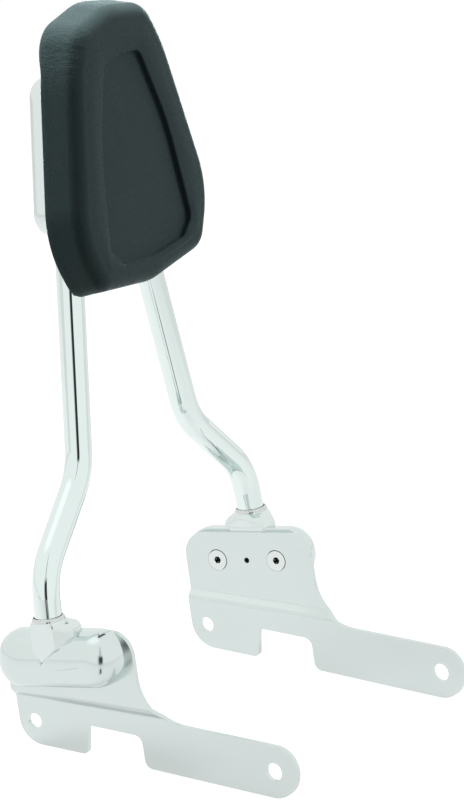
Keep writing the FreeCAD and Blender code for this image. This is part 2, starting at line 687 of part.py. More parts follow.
def hoop_tube():
    """One bent tube from lug to lug, cut level on top of the lugs."""
    body = leaning_body("hoop_tube")
    path = new_sketch(body, "path", "XZ_Plane", out="-hoop_back")
    foot_x = "(%s + foot_trim*tan(foot_splay))" % FOOT_REACH
    bend_x = "(%s - (lower_bend_height - lug_height)*tan(foot_splay))" % FOOT_REACH
    foot_height = "(lug_height - foot_trim)"
    outline(path, [
        (foot_x, foot_height, None),
        (bend_x, "lower_bend_height", "bend_radius"),
        ("upper_bend_reach", "upper_bend_height", "bend_radius"),
        (ZERO, APEX_HEIGHT, "arch_radius"),
        ("-upper_bend_reach", "upper_bend_height", "bend_radius"),
        ("-" + bend_x, "lower_bend_height", "bend_radius"),
        ("-" + foot_x, foot_height, None),
    ], closed=False)
    ring = new_sketch(body, "ring", "XY_Plane")
    ring.AttachmentOffset = FreeCAD.Placement(
        FreeCAD.Vector(), FreeCAD.Rotation(FreeCAD.Vector(0, -1, 0), 1))
    bind(ring, "AttachmentOffset.Rotation.Angle", "foot_splay")
    bind(ring, "AttachmentOffset.Base.x", foot_x)
    bind(ring, "AttachmentOffset.Base.y", "hoop_back")
    bind(ring, "AttachmentOffset.Base.z", foot_height)
    doc.recompute()
    circle(ring, ZERO, ZERO, "tube_width")
    circle(ring, ZERO, ZERO, "(tube_width - 2*tube_wall)")
    tube = feature(body, "AdditivePipe", "tube", ring)
    tube.Spine = (path, [])
    doc.recompute()
    trim = new_sketch(body, "trim_profile", "XY_Plane", out="lug_height")
    half = "(%s + tube_width)" % FOOT_REACH
    outline(trim, [
        ("-" + half, "-tube_width", None),
        (half, "-tube_width", None),
        (half, "tube_width", None),
        ("-" + half, "tube_width", None),
    ])
    pocket(body, "trim", trim, "2*foot_trim")
    return body


# Pad

def board_shape(sketch, margin):
    """Outline of the board, or of its place in the cushion with a margin round it."""
    outline(sketch, mirrored([
        ("(board_top_half_width + %s)" % margin, "(board_rise + %s)" % margin,
         "(board_round + %s)" % margin),
        ("(board_bottom_half_width + %s)" % margin, "(-board_drop - %s)" % margin,
         "(board_round + %s)" % margin),
    ]))


def side_run(across, up):
    """Length of one straight run of the cushion's side, and its slant."""
    return "sqrt(%s^2 + %s^2)" % (across, up), "atan(%s/%s)" % (across, up)


def pad_cushion():
    """Moulded cushion with a sunk panel in front and the board let into its back."""
    body = pad_body("pad_cushion")
    shape = new_sketch(body, "shape", "XZ_Plane", out=PAD_BACK)
    upper = side_run("(pad_shoulder_half_width - pad_top_half_width)", "(pad_rise - pad_shoulder_rise)")
    middle = side_run("(pad_hip_half_width - pad_shoulder_half_width)", "(pad_shoulder_rise + pad_hip_drop)")
    lower = side_run("(pad_hip_half_width - pad_bottom_half_width)", "(pad_drop - pad_hip_drop)")
    shoulder = "(pad_shoulder_share*%s/tan(abs(%s - %s)/2))" % (upper[0], upper[1], middle[1])
    hip = "(pad_hip_share*%s/tan((%s + %s)/2))" % (lower[0], lower[1], middle[1])
    half = [
        ("pad_top_half_width", "pad_rise", "pad_top_round"),
        ("pad_shoulder_half_width", "pad_shoulder_rise", shoulder),
        ("pad_hip_half_width", "-pad_hip_drop", hip),
        ("pad_bottom_half_width", "-pad_drop", "pad_bottom_round"),
    ]
    top = (ZERO, "(pad_rise + pad_top_bow)", "pad_bow_round")
    bottom = (ZERO, "(-pad_drop - pad_bottom_bow)", "pad_bow_round")
    outline(shape, half + [bottom] + mirrored(half)[len(half):] + [top])
    block = pad(body, "block", shape, "pad_thick")
    bind(block, "TaperAngle", "-pad_draft")
    doc.recompute()
    front = edges_of(block.Shape, lambda edge: level(edge, "Y", -number(PAD_FRONT)))
    soft = rounded(body, "front_round", block, front, "pad_front_round")
    back = edges_of(soft.Shape, lambda edge: level(edge, "Y", -number(PAD_BACK)))
    rounded(body, "back_round", soft, back, "pad_back_round")

    crest = new_sketch(body, "crest_profile", "XZ_Plane", out="(%s + pad_back_round)" % PAD_BACK)
    slant = "((pad_shoulder_half_width - pad_top_half_width)/(pad_rise - pad_shoulder_rise))"
    crest_half = "(pad_top_half_width + (pad_rise - crest_rise)*%s - 2*pad_back_round)" % slant
    outline(crest, mirrored([
        ("(pad_top_half_width - pad_back_round)", "(pad_rise - pad_back_round/2)", "pad_top_round"),
        (crest_half, "crest_rise", "pad_back_round"),
    ]) + [(ZERO, "(pad_rise + pad_top_bow - pad_back_round)", "pad_bow_round")])
    swell = pad(body, "crest", crest, "(crest_back + pad_back_round)", reverse=True)
    bind(swell, "TaperAngle", "-crest_draft")
    doc.recompute()
    back = "(crest_back - %s)" % PAD_BACK
    full = "(crest_rise + crest_slope)"
    slope = new_sketch(body, "crest_slope_profile", "YZ_Plane")
    corners = [("-" + PAD_BACK, "crest_rise"), (back, full), ("(crest_back + %s)" % back, full),
               ("(crest_back + %s)" % back, "crest_rise")]
    outline(slope, [(across, up, None) for across, up in corners])
    pocket(body, "crest_slope", slope, SHEET_LENGTH, midplane=True)

    panel = new_sketch(body, "panel_profile", "XZ_Plane", out=PAD_FRONT)
    outline(panel, mirrored([
        ("panel_top_half_width", "panel_rise", "panel_top_round"),
        ("panel_hip_half_width", "-panel_hip_drop", "panel_round"),
        ("panel_bottom_half_width", "-panel_drop", "panel_round"),
    ]))
    pocket(body, "panel", panel, "panel_depth")
    room = new_sketch(body, "board_room_profile", "XZ_Plane", out=PAD_BACK)
    board_shape(room, "board_gap")
    pocket(body, "board_room", room, "(board_thick + board_gap)", reverse=True)
    return body


def pad_board():
    """Board in the cushion's back, with two bosses that stand on the brackets."""
    body = pad_body("pad_board")
    shape = new_sketch(body, "shape", "XZ_Plane", out=PAD_BACK)
    board_shape(shape, ZERO)
    pad(body, "board", shape, "board_thick")
    bosses = new_sketch(body, "boss_circles", "XZ_Plane", out=BRACKET_FRONT)
    bores = new_sketch(body, "bore_circles", "XZ_Plane", out=BRACKET_FRONT)
    for drop in BRACKET_DROPS:
        circle(bosses, ZERO, "-" + drop, "boss_width")
        circle(bores, ZERO, "-" + drop, "(bolt_width + 2*screw_gap)")
    pad(body, "bosses", bosses, "(%s - %s)" % (PAD_BACK, BRACKET_FRONT))
    pocket(body, "bores", bores, "(bolt_grip + screw_gap)", reverse=True)
    return body


def pad_bracket(label, drop):
    """Flat cross bracket between the legs, drilled for a pad bolt."""
    body = pad_body(label)
    shape = new_sketch(body, "shape", "XZ_Plane", out="-" + BRACKET_FRONT)
    low = "(-%s - bracket_half_height)" % drop
    high = "(-%s + bracket_half_height)" % drop
    room = "(tube_width/2 + tube_gap)/cos(leg_slant)"
    outline(shape, mirrored([
        ("(%s - %s)" % (leg_x(high), room), high, None),
        ("(%s - %s)" % (leg_x(low), room), low, None),
    ]))
    pad(body, "bar", shape, "bracket_thick")
    hole = new_sketch(body, "hole_circle", "XZ_Plane", out="-" + BRACKET_FRONT)
    circle(hole, ZERO, "-" + drop, "(bolt_width + 2*screw_gap)")
    pocket(body, "hole", hole, THROUGH, midplane=True)
    return body


def pad_bolt(label, drop):
    """Button-headed bolt from behind the back cover into the board."""
    body = pad_body(label)
    length = "(%s + bolt_grip + %s)" % (BRACKET_FRONT, DISH_BACK)
    profile = new_sketch(body, "profile", "YZ_Plane", across=DISH_BACK, along="-" + drop)
    outline(profile, [
        ("bolt_head_height", ZERO, None),
        ("bolt_head_height", "bolt_head_width/2", "bolt_head_round"),
        (ZERO, "bolt_head_width/2", None),
        (ZERO, "bolt_width/2", None),
        ("-" + length, "bolt_width/2", None),
        ("-" + length, ZERO, None),
    ])
    turned(body, "Revolution", "bolt", profile)
    socket = new_sketch(body, "socket_profile", "XZ_Plane", out="(-%s - bolt_head_height)" % DISH_BACK)
    polygon(socket, ZERO, "(-%s)" % drop, "bolt_socket_width")
    pocket(body, "socket", socket, "2*bolt_socket_depth", midplane=True)
    return body


def back_cover():
    """Dished cover behind the pad, slotted for the legs, with two bolt bosses."""
    body = pad_body("back_cover")
    shape = new_sketch(body, "shape", "XZ_Plane", out=PAD_BACK)
    outline(shape, mirrored([
        ("dish_top_half_width", "dish_rise", "dish_corner_round"),
        ("dish_bottom_half_width", "-dish_drop", "dish_corner_round"),
    ]))
    block = pad(body, "block", shape, "(%s + %s)" % (PAD_BACK, DISH_BACK), reverse=True)
    edges = edges_of(block.Shape, lambda edge: level(edge, "Y", number(DISH_BACK)))
    soft = rounded(body, "edge_round", block, edges, "dish_edge_round")
    shell = feature(body, "Thickness", "shell")
    front = [i for i, face in enumerate(soft.Shape.Faces, start=1)
             if level(face, "Y", -number(PAD_BACK))]
    shell.Base = (soft, ["Face%d" % front[0]])
    shell.Reversed = True
    shell.Join = "Intersection"
    bind(shell, "Value", "dish_wall")
    doc.recompute()

    slots = new_sketch(body, "slot_profile", "XY_Plane", out="-dish_drop")
    room = "(tube_width/2 + dish_leg_gap)"
    middle = leg_x("-dish_drop")
    lag = "(dish_drop*tan(pad_lean - lean_angle))"
    slot_round = "(%s - dish_slot_flat/2)" % room
    for out in ("1*", "-1*"):
        near = "%s(%s - %s)" % (out, middle, room)
        far = "%s(%s + %s)" % (out, middle, room)
        outline(slots, [
            (near, "-(%s + dish_wall)" % PAD_BACK, None),
            (near, "(%s + %s)" % (lag, room), slot_round),
            (far, "(%s + %s)" % (lag, room), slot_round),
            (far, "-(%s + dish_wall)" % PAD_BACK, None),
        ])
    pocket(body, "slots", slots, "2*(dish_edge_round + dish_leg_gap)", midplane=True)

    bosses = new_sketch(body, "boss_circles", "XZ_Plane", out="-" + BRACKET_FRONT)
    bores = new_sketch(body, "bore_circles", "XZ_Plane", out="-" + DISH_BACK)
    for drop in BRACKET_DROPS:
        circle(bosses, ZERO, "-" + drop, "boss_width")
        circle(bores, ZERO, "-" + drop, "(bolt_width + 2*screw_gap)")
    pad(body, "bosses", bosses, "(%s - %s - dish_wall/2)" % (DISH_BACK, BRACKET_FRONT), reverse=True)
    pocket(body, "bores", bores, THROUGH, midplane=True)
    return body


def build():
    """All sub-parts, each a body of its own."""
    bodies = [hoop_tube()]
    for name, side in SIDES:
        bodies.append(side_plate(name + "_side_plate", side))
        bodies.append(foot_lug(name + "_foot_lug", side))
        bodies.append(foot_weld(name + "_foot_weld", side))
        bodies.append(foot_screw(name + "_front_foot_screw", side, "(screw_spacing/2)"))
        bodies.append(foot_screw(name + "_rear_foot_screw", side, "(-screw_spacing/2)"))
        bodies.append(foot_cover(name + "_foot_cover", side))
        bodies.append(cover_screw(name + "_cover_screw", side))
    bodies.append(pad_cushion())
    bodies.append(pad_board())
    for name, drop in zip(("upper", "lower"), BRACKET_DROPS):
        bodies.append(pad_bracket(name + "_pad_bracket", drop))
        bodies.append(pad_bolt(name + "_pad_bolt", drop))
    bodies.append(back_cover())
    return bodies


def check(bodies):
    """Stop if any object failed, or a sub-part is not one valid solid."""
    for item in doc.Objects:
        if "Invalid" in item.State or "Error" in item.State:
            raise RuntimeError("failed object: %s %s" % (item.Label, item.State))
    for body in bodies:
        shape = body.Shape
        if shape.isNull() or not shape.isValid() or len(shape.Solids) != 1:
            raise RuntimeError("bad shape: " + body.Label)


parts = build()
doc.recompute()
check(parts)
os.makedirs("parts", exist_ok=True)
for part in parts:
    part.Shape.exportStep("parts/%s.step" % part.Label)
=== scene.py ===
import bpy
import bmesh
import math
from mathutils import Matrix, Vector

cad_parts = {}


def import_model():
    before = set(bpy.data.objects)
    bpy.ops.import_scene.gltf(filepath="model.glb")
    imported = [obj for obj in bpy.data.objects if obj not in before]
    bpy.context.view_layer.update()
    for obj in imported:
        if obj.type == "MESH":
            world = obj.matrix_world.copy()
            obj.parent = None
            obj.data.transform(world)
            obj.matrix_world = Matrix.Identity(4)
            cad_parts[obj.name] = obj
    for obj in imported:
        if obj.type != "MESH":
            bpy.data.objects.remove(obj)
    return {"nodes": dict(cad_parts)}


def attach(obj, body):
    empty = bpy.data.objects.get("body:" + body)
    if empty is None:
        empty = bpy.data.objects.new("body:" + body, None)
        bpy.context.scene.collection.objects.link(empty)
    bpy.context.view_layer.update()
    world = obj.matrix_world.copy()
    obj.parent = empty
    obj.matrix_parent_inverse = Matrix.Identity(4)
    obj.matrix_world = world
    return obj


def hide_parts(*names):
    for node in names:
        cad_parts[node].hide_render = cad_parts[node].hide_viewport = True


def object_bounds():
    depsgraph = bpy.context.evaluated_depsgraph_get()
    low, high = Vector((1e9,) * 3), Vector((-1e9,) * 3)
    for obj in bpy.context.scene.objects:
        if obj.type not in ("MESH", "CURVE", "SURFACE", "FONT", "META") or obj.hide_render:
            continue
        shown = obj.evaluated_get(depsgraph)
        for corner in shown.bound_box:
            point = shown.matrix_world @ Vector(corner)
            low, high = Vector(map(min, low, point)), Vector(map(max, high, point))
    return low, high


# Sissy bar in a plain pale studio. Lengths are in metres; +X is the rider's left, -Y forward.

# Camera
CAMERA_PLACE = Vector((-4.458, -2.782, 1.931))
CAMERA_RIGHT = Vector((0.5165, -0.8563, 0.0))
CAMERA_BACK = Vector((-0.8137, -0.4909, 0.3115))
CAMERA_LENS = 344.1
CAMERA_REACH = 100
SENSOR = 36.0

# Frame of the hoop's foot and frame of the pad: sideways, forward, up
FOOT_MIDDLE = Vector((0.0, -0.028, 0.07615))
FOOT_LEAN = math.radians(9.5)
PAD_MIDDLE = Vector((0.0, 0.02793, 0.4014))
PAD_LEAN = math.radians(11)

# Pad: corners of its half outline as sideways, up and radius
PAD_CORNERS = (
    (0.048, 0.091, 0.026),
    (0.064, 0.060, 0.140),
    (0.0927, -0.058, 0.070),
    (0.070, -0.101, 0.022),
)
PAD_TOP = (0.0, 0.100, 0.060)
PAD_BOTTOM = (0.0, -0.1095, 0.060)
PAD_SHARE_MIDDLE = Vector((0.0, -0.015))
PAD_POINTS = 400
PAD_SPACING = 0.0006
PAD_BACK = 0.0113
PAD_THICK = 0.0293
PAD_DRAFT = math.radians(8.5)
PAD_FRONT_ROUND = 0.012
PAD_BACK_ROUND = 0.0015
PAD_CROWN = 0.0008
PAD_CREASE = math.radians(50)
CREST_BACK = 0.0045
CREST_RISE = 0.057
CREST_SLOPE = 0.020
CREST_SOFTNESS = 0.55
ROOM_CORNERS = (
    (0.0423, 0.0723, 0.0183),
    (0.0683, -0.0823, 0.0183),
)
ROOM_SPACING = 0.001
ROOM_DEPTH = 0.0053
LIP_GAP = 0.0002
PANEL_CORNERS = (
    (0.0235, 0.0585, 0.010),
    (0.0448, 0.000, 0.200),
    (0.0548, -0.073, 0.010),
    (0.0405, -0.0845, 0.007),
)
PANEL_TOP = (0.0, 0.0605, 0.060)
PANEL_BOTTOM = (0.0, -0.0878, 0.100)
PANEL_SPACING = 0.0004
PANEL_DEPTH = 0.0042
PANEL_LIP = 0.0012
PANEL_FOOT = 0.0008

# Pad's rings: shares of the way across each zone, and steps round each edge
ROOM_SHARES = (0.2, 0.5, 0.8, 1.0)
MOUTH_SHARE = 0.999
BACK_SHARES = (0.15, 0.35, 0.55, 0.75, 0.9)
BACK_ROUND_STEPS = 6
SIDE_SHARES = (0.2, 0.5, 0.8)
FRONT_ROUND_STEPS = 18
BORDER_SHARES = (0.2, 0.4, 0.6, 0.8)
LIP_STEPS = 5
PANEL_SHARES = (0.94, 0.85, 0.7, 0.5, 0.3, 0.12)

# Panel's wall: share of the way to its foot, and share of the foot's rounding above the floor
PANEL_WALL = ((0.1, 1.0), (0.4, 0.4), (1.0, 0.0))

# Feet, measured in the foot's frame: outward, forward, up
PLATE_FACE = 0.1262
COVER_POINTS = 240
COVER_SPACING = 0.0005
COVER_CORNERS = (
    (0.0515, 0.0022, 0.0195),
    (0.0515, -0.039, 0.0195),
)
COVER_RIDGE = 0.024
COVER_RIDGE_UP = -0.023
COVER_DEPTH = 0.0254
COVER_STRAIGHT = 0.0036
COVER_WALL = 0.0025
COVER_TURNS = (0, 4, 8, 13, 18, 24, 30, 36, 42, 48, 54, 60, 66, 72, 77, 82, 86)
COVER_BULGE = 2.2
COVER_FRONT_BULGE = 2.0
COVER_END_POWER = 2.7
COVER_FRONT_POWER = 3.4
COVER_TOP_POWER = 2.4
COVER_LOW_POWER = 4.0
COVER_CREASE = math.radians(35)
NOTCH_TIP = (-0.0062, -0.0182)
NOTCH_REAR = -0.0148
NOTCH_FRONT = 0.0180
NOTCH_SHOULDER = 0.0032
LUG_HEIGHTS = (0.0040, -0.0070)
LUG_CORNERS = (
    (0.1264, -0.0175),
    (0.1400, -0.0190),
    (0.1506, -0.0115),
    (0.1506, 0.0075),
    (0.1400, 0.0180),
    (0.1264, 0.0165),
)
LUG_TIP = (
    (0.1440, -0.0073),
    (0.1470, -0.0074),
    (0.1506, -0.0072),
    (0.1506, -0.0058),
    (0.1470, -0.0056),
    (0.1440, -0.0057),
)
LUG_TIP_UP = -0.0173
LUG_EDGE_POINTS = 12
LUG_CREASE = math.radians(28)
TONGUE_CORNERS = (
    (0.040, -0.0035, 0.012),
    (0.040, -0.034, 0.012),
)
TONGUE_SPACING = 0.001
TONGUE_THICK = 0.010
BLOCK_CREASE = math.radians(30)
BORE_SEGMENTS = 64
BORE_START = -0.01
BORE_END = 0.04

# Screws of the feet: their places, holes and heads
SCREW_DROP = 0.0216
SCREW_HALF_SPACING = 0.0256
SCREW_HOLE = 0.00415
PIN_HOLE = 0.00215
# Radius and soft edge of the painted shade in each screw socket
SOCKET_RADIUS = 0.0025
SOCKET_SOFT = 0.0002
HEAD_RADIUS = 0.0080

# Painted shadow arc in the gap beside each head: half its width inside and outside its soft edges,
# tilt and ends
ARC_INNER = 0.0003
ARC_OUTER = 0.0007
ARC_TILT = 0.8
ARC_ENDS = (-0.004, 0.002)

# Weld beads
BEAD_SIDE = 0.140
BEAD_BACK = 0.0015
BEAD_FLOOR = 0.012
BEAD_INNER = 0.0106
BEAD_WIDTH = 0.0015
BEAD_HEIGHT = 0.0027
BEAD_STEPS = 10
BEAD_SEGMENTS = 240
BEAD_RIPPLES = 24
BEAD_RIPPLE = 0.00018
BEAD_SHARPNESS = 0.6
BEAD_SKEW = 0.8
BEAD_CREASE = math.radians(60)

# Lug's neck below the bead: height, radius and share of the way out to its facets
LUG_NECK = (
    (BEAD_FLOOR, 0.0122, 0.0),
    (0.0115, 0.0126, 0.0),
    (0.0095, 0.0130, 0.62),
    (0.0070, 0.0130, 0.88),
)

# Plated finishes: light tone, dark tone, roughness from and to, height and scale of the waves
FINISHES = (
    ("tube_chrome", (0.80, 0.882, 0.862, 1), (0.755, 0.832, 0.812, 1), 0.03, 0.07, 0.00001, 60.0),
    ("plate_chrome", (0.71, 0.77, 0.755, 1), (0.67, 0.735, 0.72, 1), 0.20, 0.28, 0.00002, 20.0),
    ("cover_chrome", (0.755, 0.815, 0.80, 1), (0.715, 0.775, 0.76, 1), 0.15, 0.22, 0.00001, 40.0),
    ("weld_chrome", (0.72, 0.75, 0.74, 1), (0.60, 0.63, 0.62, 1), 0.08, 0.16, 0.00005, 900.0),
    ("screw_steel", (0.76, 0.80, 0.79, 1), (0.71, 0.75, 0.74, 1), 0.12, 0.20, 0.00002, 400.0),
    ("bolt_chrome", (0.76, 0.80, 0.79, 1), (0.70, 0.74, 0.73, 1), 0.08, 0.16, 0.00002, 400.0),
    ("foot_cover_chrome", (0.710, 0.780, 0.766, 1), (0.675, 0.745, 0.730, 1),
     0.11, 0.15, 0.00001, 40.0),
    ("black_oxide", (0.030, 0.036, 0.036, 1), (0.018, 0.022, 0.022, 1), 0.35, 0.50, 0.00003, 900.0),
)
SMEAR_SHARE = 0.7
HAIRLINE_SHARE = 0.3
POLISH_RANGE = (0.3, 0.7)
HAIRLINE_STRETCH = (1.0, 0.06, 0.06)
# Near-black tones of the painted shade in the screw sockets and in the arcs beside their heads
SOCKET_SHADE_TONES = ((0.008, 0.012, 0.012, 1), (0.020, 0.026, 0.026, 1))

# Finish of the nodes on both sides and of those in the middle
SIDE_FINISHES = (
    ("_side_plate", "plate_chrome"),
    ("_front_foot_screw", "screw_steel"),
    ("_rear_foot_screw", "screw_steel"),
    ("_cover_screw", "black_oxide"),
)
MIDDLE_FINISHES = (
    ("hoop_tube", "tube_chrome"),
    ("upper_pad_bracket", "tube_chrome"),
    ("lower_pad_bracket", "tube_chrome"),
    ("upper_pad_bolt", "bolt_chrome"),
    ("lower_pad_bolt", "bolt_chrome"),
    ("back_cover", "cover_chrome"),
)

# Leather grain: its pebbles' wander and creases, and the shares of its two sizes
WANDER_SCALE = 0.35
WANDER_REACH = 0.0012
CREASE_WIDTH = 0.28
FINE_SCALE = 2.6
PEBBLE_SHARE = 0.8
FINE_SHARE = 0.35

# Cushion's cover: gloss, tones, roughness, relief, and wrinkles at its upper right
LEATHER_GLOSS = (
    ("Specular IOR Level", 0.12),
    ("Specular Tint", (0.70, 1.0, 1.0, 1.0)),
    ("Sheen Weight", 0.80),
    ("Sheen Roughness", 0.20),
    ("Sheen Tint", (0.72, 1.0, 1.0, 1.0)),
)
LEATHER_CLOUDS = ((0.046, 0.068, 0.070, 1), (0.056, 0.082, 0.084, 1))
LEATHER_CREASE = (0.040, 0.059, 0.061, 1)
LEATHER_ROUGHNESS = (0.62, 0.42)
LEATHER_RELIEF = 0.0007
GRAIN_SHARE = 0.14
WRINKLES_UP = (0.445, 0.470)
WRINKLES_ASIDE = (0.010, 0.045)
WRINKLES_SQUEEZE = (0.5, 0.5, 1.6)
WRINKLES_SCALE = 260.0

# Board's plastic
BOARD_CLOUDS = ((0.014, 0.014, 0.015, 1), (0.026, 0.026, 0.028, 1))
BOARD_ROUGHNESS = (0.55, 0.7)
BOARD_RELIEF = 0.00008

# Floor: half its side, its place below the plates, its paper, and its glow for camera and mirrors
FLOOR_HALF = 8.0
FLOOR_GAP = 0.0005
PAPER_TONES = ((0.145, 0.15, 0.15, 1), (0.155, 0.16, 0.16, 1))
GLOW_FOR_CAMERA = 0.95
GLOW_FOR_MIRRORS = 0.77

# Dark gap of the studio, as slopes sideways and upwards and as distances on the floor; in the world
# it is part of the surroundings, on the floor it is a painted reflection that only mirrors see.
# Each pair says where a change starts and where it ends.
GAP_LEFT = (-0.30, -0.10)
GAP_RIGHT = (0.15, 0.20)
GAP_THIN_LEFT = (-0.14, -0.04)
GAP_THIN_RIGHT = (-0.04, 0.06)
GAP_NEAR = (0.28, 0.33)
GAP_FADE = (0.50, 0.60)
GAP_FAINT = 0.15
GAP_FAR = (1.4, 2.6)
GAP_TOP = (0.36, 0.60)
GAP_CLEAR = (0.0, 0.08)
GAP_HORIZON = 0.7
GAP_HIGH = (1.0, 2.6)
GAP_HIGH_STRENGTH = 0.70
GAP_AHEAD = (0.0, 0.05)
GAP_COLOUR = (0.030, 0.034, 0.034, 1)
LEAST_AHEAD = 0.001

# Surroundings: their tone, their light on matt surfaces from one side, and the brighter sky
STUDIO_TONE = (0.985, 1.0, 0.995, 1)
SIDE_LIGHT = 0.30
SIDE_LIGHT_RANGE = (0.10, 0.80)
SKY_WAY = (-0.10, 0.35, 0.93)
SKY_RANGE = (0.90, 1.0)
SKY_EXTRA = 0.22

# Lamps: name, place, size, power
LAMPS = (
    ("overhead", (0.14, 0.42, 1.30), 0.6, 27.0),
    ("front", (0.90, -1.55, 0.90), 1.0, 12.5),
    ("rear", (-1.20, 1.70, 0.80), 1.0, 22.0),
)


def fresh_material(name):
    material = bpy.data.materials.new(name)
    material.use_nodes = True
    material.node_tree.nodes.clear()
    return material


def add(tree, kind, **settings):
    node = tree.nodes.new(kind)
    for key, value in settings.items():
        setattr(node, key, value)
    return node


def link(tree, source, target):
    tree.links.new(source, target)


def math_node(tree, operation, first, second=None):
    node = add(tree, "ShaderNodeMath", operation=operation)
    for socket, value in zip(node.inputs, (first, second)):
        if value is None:
            continue
        if isinstance(value, (int, float)):
            socket.default_value = value
        else:
            link(tree, value, socket)
    return node.outputs[0]


def times(tree, first, second):
    return math_node(tree, "MULTIPLY", first, second)


def plus(tree, first, second):
    return math_node(tree, "ADD", first, second)


def minus(tree, first, second):
    return math_node(tree, "SUBTRACT", first, second)


def larger(tree, first, second):
    return math_node(tree, "MAXIMUM", first, second)


def scaled_range(tree, value, low, high, to_low=0.0, to_high=1.0, smooth=False):
    kind = "SMOOTHSTEP" if smooth else "LINEAR"
    node = add(tree, "ShaderNodeMapRange", clamp=True, interpolation_type=kind)
    link(tree, value, node.inputs["Value"])
    numbers = (("From Min", low), ("From Max", high), ("To Min", to_low), ("To Max", to_high))
    for socket, number in numbers:
        node.inputs[socket].default_value = number
    return node.outputs["Result"]


def mixed_colour(tree, factor, first, second):
    node = add(tree, "ShaderNodeMix", data_type="RGBA")
    for index, value in ((0, factor), (6, first), (7, second)):
        if isinstance(value, (int, float, tuple)):
            node.inputs[index].default_value = value
        else:
            link(tree, value, node.inputs[index])
    return node.outputs[2]


def new_group(name, inputs, outputs):
    group = bpy.data.node_groups.new(name, "ShaderNodeTree")
    for label, kind, value in inputs:
        socket = group.interface.new_socket(label, in_out="INPUT", socket_type=kind)
        socket.default_value = value
    for label, kind in outputs:
        group.interface.new_socket(label, in_out="OUTPUT", socket_type=kind)
    return group, add(group, "NodeGroupInput"), add(group, "NodeGroupOutput")


def placed_group(tree, group, **values):
    node = add(tree, "ShaderNodeGroup", node_tree=group)
    for label, value in values.items():
        node.inputs[label.replace("_", " ")].default_value = value
    return node


def object_place(tree):
    return add(tree, "ShaderNodeTexCoord").outputs["Object"]


def along(tree, place, direction):
    node = add(tree, "ShaderNodeVectorMath", operation="DOT_PRODUCT")
    link(tree, place, node.inputs[0])
    node.inputs[1].default_value = direction
    return node.outputs["Value"]


def stretched(tree, place, scales):
    node = add(tree, "ShaderNodeVectorMath", operation="MULTIPLY")
    link(tree, place, node.inputs[0])
    node.inputs[1].default_value = scales
    return node.outputs[0]


def noise_at(tree, place, scale, detail=2.0, roughness=0.5):
    node = add(tree, "ShaderNodeTexNoise")
    node.inputs["Detail"].default_value = detail
    node.inputs["Roughness"].default_value = roughness
    link(tree, place, node.inputs["Vector"])
    if isinstance(scale, (int, float)):
        node.inputs["Scale"].default_value = scale
    else:
        link(tree, scale, node.inputs["Scale"])
    return node.outputs["Fac"]


def make_leather_grain():
    """Pebbles with creases between them, in two sizes, and a cloudy tone."""
    group, given, out = new_group(
        "leather_grain",
        (("Pebble Scale", "NodeSocketFloat", 900.0), ("Cloud Scale", "NodeSocketFloat", 18.0)),
        tuple((label, "NodeSocketFloat") for label in ("Height", "Crease", "Cloud")),
    )
    place = object_place(group)
    scale = given.outputs["Pebble Scale"]
    wander = noise_at(group, place, times(group, scale, WANDER_SCALE), 3.0)
    shifted = add(group, "ShaderNodeVectorMath", operation="MULTIPLY_ADD")
    link(group, wander, shifted.inputs[0])
    shifted.inputs[1].default_value = (WANDER_REACH, WANDER_REACH, WANDER_REACH)
    link(group, place, shifted.inputs[2])
    pebbles = add(group, "ShaderNodeTexVoronoi", feature="DISTANCE_TO_EDGE")
    link(group, shifted.outputs[0], pebbles.inputs["Vector"])
    link(group, scale, pebbles.inputs["Scale"])
    crease = scaled_range(group, pebbles.outputs["Distance"], 0.0, CREASE_WIDTH)
    fine = noise_at(group, place, times(group, scale, FINE_SCALE), 3.0, 0.6)
    height = plus(group, times(group, crease, PEBBLE_SHARE), times(group, fine, FINE_SHARE))
    cloud = noise_at(group, place, given.outputs["Cloud Scale"], 4.0, 0.55)
    link(group, height, out.inputs["Height"])
    link(group, crease, out.inputs["Crease"])
    link(group, cloud, out.inputs["Cloud"])
    return group


def make_polish_marks():
    """Faint smears and hairlines of a buffed surface."""
    group, given, out = new_group(
        "polish_marks",
        (("Smear Scale", "NodeSocketFloat", 30.0), ("Hairline Scale", "NodeSocketFloat", 900.0)),
        (("Smear", "NodeSocketFloat"), ("Hairline", "NodeSocketFloat")),
    )
    place = object_place(group)
    smear = noise_at(group, place, given.outputs["Smear Scale"], 4.0, 0.6)
    lengthwise = stretched(group, place, HAIRLINE_STRETCH)
    hairline = noise_at(group, lengthwise, given.outputs["Hairline Scale"], 2.0, 0.6)
    link(group, smear, out.inputs["Smear"])
    link(group, hairline, out.inputs["Hairline"])
    return group


def make_plated_ripple():
    """Fine waviness of plated and machined metal."""
    group, given, out = new_group(
        "plated_ripple",
        (("Ripple Scale", "NodeSocketFloat", 400.0),),
        (("Height", "NodeSocketFloat"),),
    )
    place = object_place(group)
    scale = given.outputs["Ripple Scale"]
    coarse = noise_at(group, place, scale, 3.0, 0.6)
    fine = noise_at(group, place, times(group, scale, 4.0), 2.0)
    link(group, plus(group, coarse, times(group, fine, 0.3)), out.inputs["Height"])
    return group


def bumped(tree, height, distance):
    node = add(tree, "ShaderNodeBump")
    node.inputs["Distance"].default_value = distance
    node.inputs["Strength"].default_value = 1.0
    link(tree, height, node.inputs["Height"])
    return node.outputs["Normal"]


def principled(tree):
    shader = add(tree, "ShaderNodeBsdfPrincipled")
    out = add(tree, "ShaderNodeOutputMaterial")
    link(tree, shader.outputs[0], out.inputs["Surface"])
    return shader


